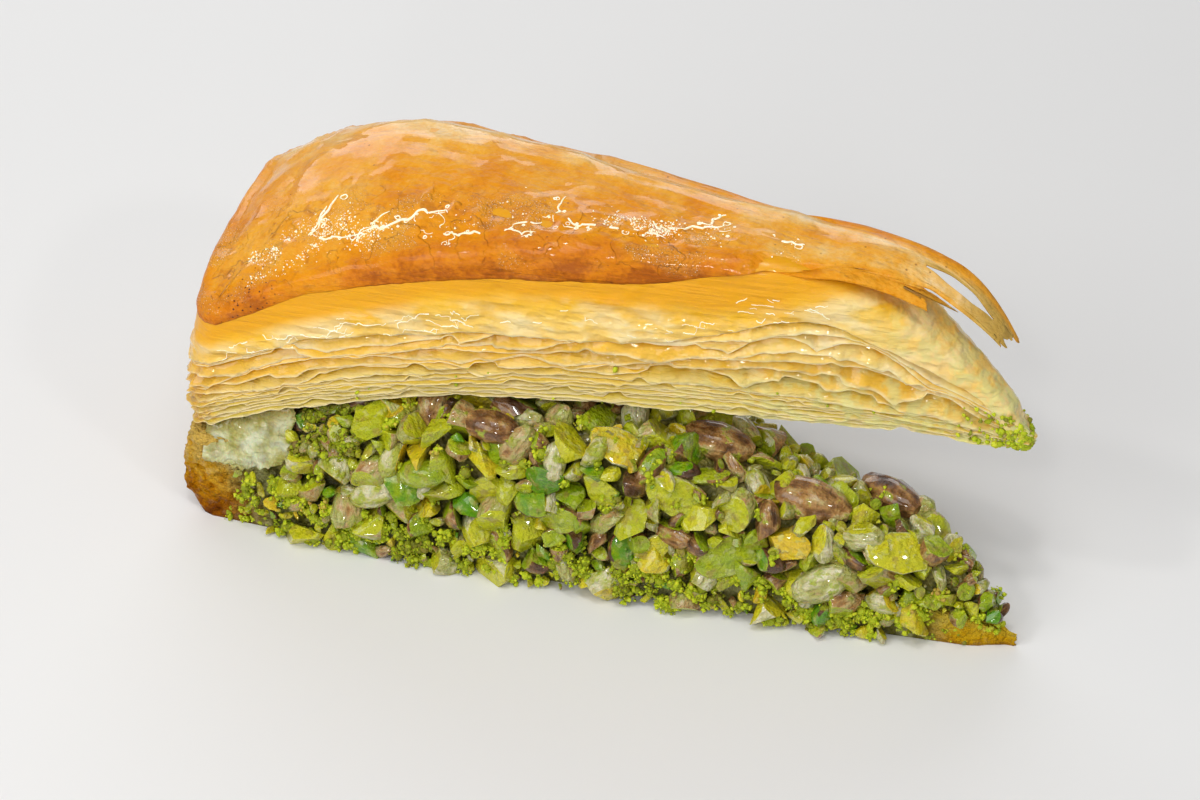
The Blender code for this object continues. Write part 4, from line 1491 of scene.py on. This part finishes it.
def make_crumbs(finish):
    """Fine crumbs in tufts down both cut faces, and a few loose ones over the nuts."""
    rng = np.random.default_rng(23)
    kinds = [grain_shape(rng) for k in range(6)]
    centres, normals = heap_samples(9000, rng)
    x, y, z = centres.T
    line = base_top(x) + 2.6 + 3.4 * waves(x / 11, seed=24) + 1.2 * ease(20, 45, x) - 2 * ease(95, 125, x)
    patch = rough(x / 5, y / 5, z / 5, seed=25)
    chance = np.where(z < line, 0.5 + 1.1 * patch, 0.02 + 0.28 * np.maximum(patch - 0.1, 0))
    chance = np.where((x < 34) & (z > 19), 0.6, chance)
    chance = np.where((x < 21) & (z > 12.5) & (y < 0), 0, chance)
    kept = rng.random(len(centres)) < chance
    more, out = strays(rng)
    centres = np.concatenate([more, centres[kept][:1200]])
    normals = np.concatenate([out, normals[kept][:1200]])
    spread = rng.uniform(0.6, 1.7, len(centres))
    spread[:len(more)] *= 0.6
    count = (5 + 11 * spread**2).astype(int)
    owner = np.repeat(np.arange(len(centres)), count)[:26500]
    ball = rng.normal(size=(len(owner), 3))
    ball *= (rng.random(len(owner)) ** 0.35 / np.linalg.norm(ball, axis=1))[:, None]
    squash = rng.uniform(0.6, 1.45, (len(centres), 3))[owner]
    spots = centres[owner] + ball * squash * spread[owner][:, None]
    spots = spots + normals[owner] * (hang_of(centres)[owner] - 0.35 * spread[owner])[:, None]
    sizes = 0.15 + 0.5 * rng.random(len(spots)) ** 2.4
    spots[:, 2] = np.maximum(spots[:, 2], sizes * 0.8)
    shade = 0.58 + 0.5 * rough(*(centres.T / 6), seed=27)
    tones = np.clip(
        shade[owner] + rng.normal(0, 0.1, len(centres))[owner] + rng.normal(0, 0.12, len(spots)),
        0, 1)
    pasty = (spots[:, 0] < 36) & (spots[:, 2] > 18.5)
    tones = np.where(pasty, 0.05 + 0.4 * rng.random(len(spots)), tones)
    clump = ball_shape(rng)
    strew(
        "crumb_clumps", [clump], centres + normals * (hang_of(centres) - 0.45 * spread)[:, None],
        spread * 0.66, rng, finish, "pistachio_filling",
        np.clip(shade - 0.2, 0, 1),
    )
    order = np.argsort(spots[:, 1], kind="stable")
    for k, mine in enumerate(np.array_split(order, 3)):
        strew(
            "crumbs_%d" % (k + 1), kinds, spots[mine], sizes[mine], rng, finish,
            "pistachio_filling", tones[mine],
        )
    return len(spots)


def make_lid_crumbs(finish):
    """Green crumbs stuck to the lid's lower edge and thickly on its tip."""
    rng = np.random.default_rng(37)
    edge = Edge(200)
    tip = ease(128, 146, edge.x)
    weight = (0.12 + 8.0 * tip**3) * (edge.x > 30)
    at = rng.choice(len(edge.x), 700, p=weight / weight.sum())
    height = rng.random(len(at)) ** 1.6 * (0.25 + 0.55 * tip[at])
    z = edge.under[at] + height * (edge.top - edge.under)[at]
    columns = np.stack([edge.x[at], edge.y[at], z], 1)
    pull = 0.7 * ease(136, 146, edge.x[at]) - 0.25
    spots = columns - np.stack([edge.out_x[at], edge.out_y[at], 0 * pull], 1) * pull[:, None]
    spots[:, 0] -= 1.0 * ease(143, 147, spots[:, 0])
    sizes = (0.2 + 0.45 * rng.random(len(spots)) ** 2) * (1 + 0.5 * tip[at])
    strew("lid_crumbs", [grain_shape(rng) for k in range(5)], spots, sizes, rng, finish,
          "pastry_lid", np.clip(rng.normal(0.6, 0.2, len(spots)), 0, 1))


# ---- Base ------------------------------------------------------------------------------------
def make_base(finish):
    """The soaked lower filo, from the part's own solid with a rougher skin."""
    pick_none()
    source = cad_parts["base_pastry"]
    made = bpy.data.objects.new("soaked_base", source.data.copy())
    bpy.context.scene.collection.objects.link(made)
    made.data.materials.clear()
    made.data.materials.append(finish)
    pick(made)
    bpy.ops.object.mode_set(mode="EDIT")
    bpy.ops.mesh.select_all(action="SELECT")
    bpy.ops.mesh.remove_doubles(threshold=0.00001)
    bpy.ops.mesh.subdivide(number_cuts=3)
    bpy.ops.mesh.select_all(action="DESELECT")
    bpy.ops.object.mode_set(mode="OBJECT")
    for face in made.data.polygons:
        face.select = face.center.x < (22 + FOOT[0]) * MM or face.center.x > (132 + FOOT[0]) * MM
    bpy.ops.object.mode_set(mode="EDIT")
    bpy.ops.mesh.subdivide(number_cuts=2)
    bpy.ops.object.mode_set(mode="OBJECT")
    mesh = made.data
    flat = np.empty(len(mesh.vertices) * 3)
    mesh.vertices.foreach_get("co", flat)
    place = flat.reshape(-1, 3) / MM - FOOT
    mesh.vertices.foreach_get("normal", flat)
    normal = flat.reshape(-1, 3)
    x, y, z = place.T
    rim = 1 - ease(5, 17, x + 3 * waves(z / 4, y / 4, seed=44))
    pits = np.minimum(waves(x / 1.4, y / 1.4, z / 1.1, seed=45) + 0.2, 0) * 1.8
    knobs = 0.9 * rough(x / 3.0, y / 3.0, z / 2.2, seed=43)
    layers = 0.6 * ridged(x / 9, y / 9, z / 1.5, seed=41)
    push = 0.3 * rough(x / 4, y / 4, z / 4, seed=42) + rim * (knobs + pits + layers * ease(9, 13, z))
    push = push * ease(0.0, 1.2, z) - 0.3 * rim
    place = place + normal * push[:, None]
    point = ease(141, 150, x + 0.8 * waves(y, z / 1.5, seed=46))
    place[:, 1] *= 1 - 0.45 * point
    place[:, 2] *= 1 - 0.42 * point
    place[:, 0] -= 1.1 * ease(147, 150, x) * np.abs(rough(y / 1.2, z / 1.4, seed=47))
    place[:, 2] = np.where(z < 0.05, 0.0, np.maximum(place[:, 2], 0.0))
    mesh.vertices.foreach_set("co", ((place + FOOT) * MM).ravel())
    for key, value in (("rim", rim), ("tip", ease(132, 140, x)), ("height", z / RIM_HEIGHT)):
        kept = mesh.attributes.new(key, "FLOAT", "POINT")
        kept.data.foreach_set("value", value.astype(np.float32))
    mesh.update()
    mesh.shade_smooth()
    mend(made)
    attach(made, "root")
    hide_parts("base_pastry")


def make_flap(finish):
    """A loose wet leaf that hangs from under the lid over the first nuts."""
    u, v = np.meshgrid(np.linspace(0, 1, 90), np.linspace(0, 1, 56), indexing="ij")
    torn_side = 1.0 * rough(v * 5, seed=76) + 0.5 * waves(v * 17, seed=75)
    x = 3.6 + 16.6 * u + (torn_side + 1.4 * v - 1.2 * v**3) * ease(0.6, 1, u)
    half = half_width(x, TIP_WIDTH, BASE_BELLY) + 0.45
    ragged = 0.9 * rough(u * 7, seed=79) + 0.5 * waves(u * 21, seed=77)
    fall = 7.4 + 3.6 * ease(0, 0.5, u) - 1.6 * ease(0.86, 1, u) + ragged * v
    z = underside(x) - 0.3 - fall * v
    y = -half + 2.4 * (1 - v) ** 2 - 0.4 * v + 0.9 * ease(0.75, 1, u) * (1 - 0.4 * v)
    folds = 0.55 * rough(x / 4, z / 3, seed=78) + 0.3 * ridged(x / 2.4, z / 5, seed=74)
    edge_curl = 0.7 * ease(0.82, 1, v) * waves(u * 9, seed=73)
    made = add_piece(
        "loose_flap", np.stack([x, y + folds - edge_curl, z], -1), grid_faces(90, 56), finish,
        "pastry_lid", values={"fall": v},
    )
    mend(made)
    thicken(made, 0.2)


# ---- Stage -----------------------------------------------------------------------------------
def make_stage():
    pick_none()
    bpy.ops.mesh.primitive_plane_add(size=4.0, location=(0, 0, 0))
    floor = bpy.context.active_object
    floor.name = "table_top"
    floor.data.materials.append(floor_finish())
    world = bpy.data.worlds.new("studio")
    world.use_nodes = True
    world.node_tree.nodes["Background"].inputs["Color"].default_value = (0.9, 0.93, 1.0, 1)
    world.node_tree.nodes["Background"].inputs["Strength"].default_value = 0.25
    bpy.context.scene.world = world
    for name, azimuth, elevation, distance, size, power in (
        ("back_softbox", 215, 24, 0.8, (1.0, 0.35), 2.7),
        ("top_softbox", 20, 70, 0.9, (0.5, 0.4), 2.0),
        ("front_key", -25, 32, 1.0, (0.7, 0.5), 3.4),
        ("low_glint", 8, 14, 0.8, (0.06, 0.06), 0.6),
        ("high_glint", -40, 52, 0.8, (0.06, 0.06), 0.6),
        ("side_glint", 62, 40, 0.8, (0.06, 0.06), 0.5),
        ("near_glint", 15, 42, 0.8, (0.05, 0.05), 0.45),
        ("top_glint", 5, 74, 0.8, (0.05, 0.05), 0.45),
    ):
        light = bpy.data.lights.new(name, "AREA")
        light.shape = "RECTANGLE"
        light.size, light.size_y = size
        light.energy = power
        made = bpy.data.objects.new(name, light)
        a, e = math.radians(azimuth), math.radians(elevation)
        back = Vector((math.sin(a) * math.cos(e), -math.cos(a) * math.cos(e), math.sin(e)))
        made.location = back * distance + Vector((0, 0, 0.03))
        made.rotation_euler = back.to_track_quat("Z", "Y").to_euler()
        bpy.context.scene.collection.objects.link(made)


def make_camera():
    camera = bpy.data.cameras.new("camera")
    camera.lens = 100
    camera.sensor_width = 36
    camera.clip_start = 0.01
    made = bpy.data.objects.new("camera", camera)
    a, e = math.radians(23.35), math.radians(38.0)
    back = Vector((math.sin(a) * math.cos(e), -math.cos(a) * math.cos(e), math.sin(e)))
    aim = Vector((np.array([68.19, 5.95, 25.0]) + FOOT) * MM)
    made.location = aim + back * 0.5974
    made.rotation_euler = back.to_track_quat("Z", "Y").to_euler()
    bpy.context.scene.collection.objects.link(made)
    bpy.context.scene.camera = made


def main():
    make_camera()
    make_stage()
    leaves, skin, flesh = leaf_finish(), skin_finish(), flesh_finish()
    crust, syrup = make_crust(crust_finish()), glinting_syrup_finish()
    # the syrup beads, froth and wet lines all take the syrup finish with its painted glints
    make_syrup(crust, syrup)
    make_froth(crust, syrup)
    make_wet_lines(make_body_leaf(leaves), syrup)
    edge = Edge(280)
    heights = lip_heights(edge)
    split = len(FINE_LEAVES)
    make_leaves("lid_fine_leaves", edge, heights, range(split), leaves, 5)
    make_leaves("lid_broad_leaves", edge, heights, range(split, split + len(BROAD_LEAVES)), leaves, 7)
    make_lid_core(inner_finish())
    make_base(base_finish())
    make_heap_core(paste_and_gap_shade_finish())
    print("nuts", make_nuts([skin, flesh]))
    crumb = crumb_finish()
    print("crumbs", make_crumbs(crumb))
    make_lid_crumbs(crumb)
    make_flap(flap_finish())
    bpy.context.scene.view_settings.view_transform = "Standard"


main()
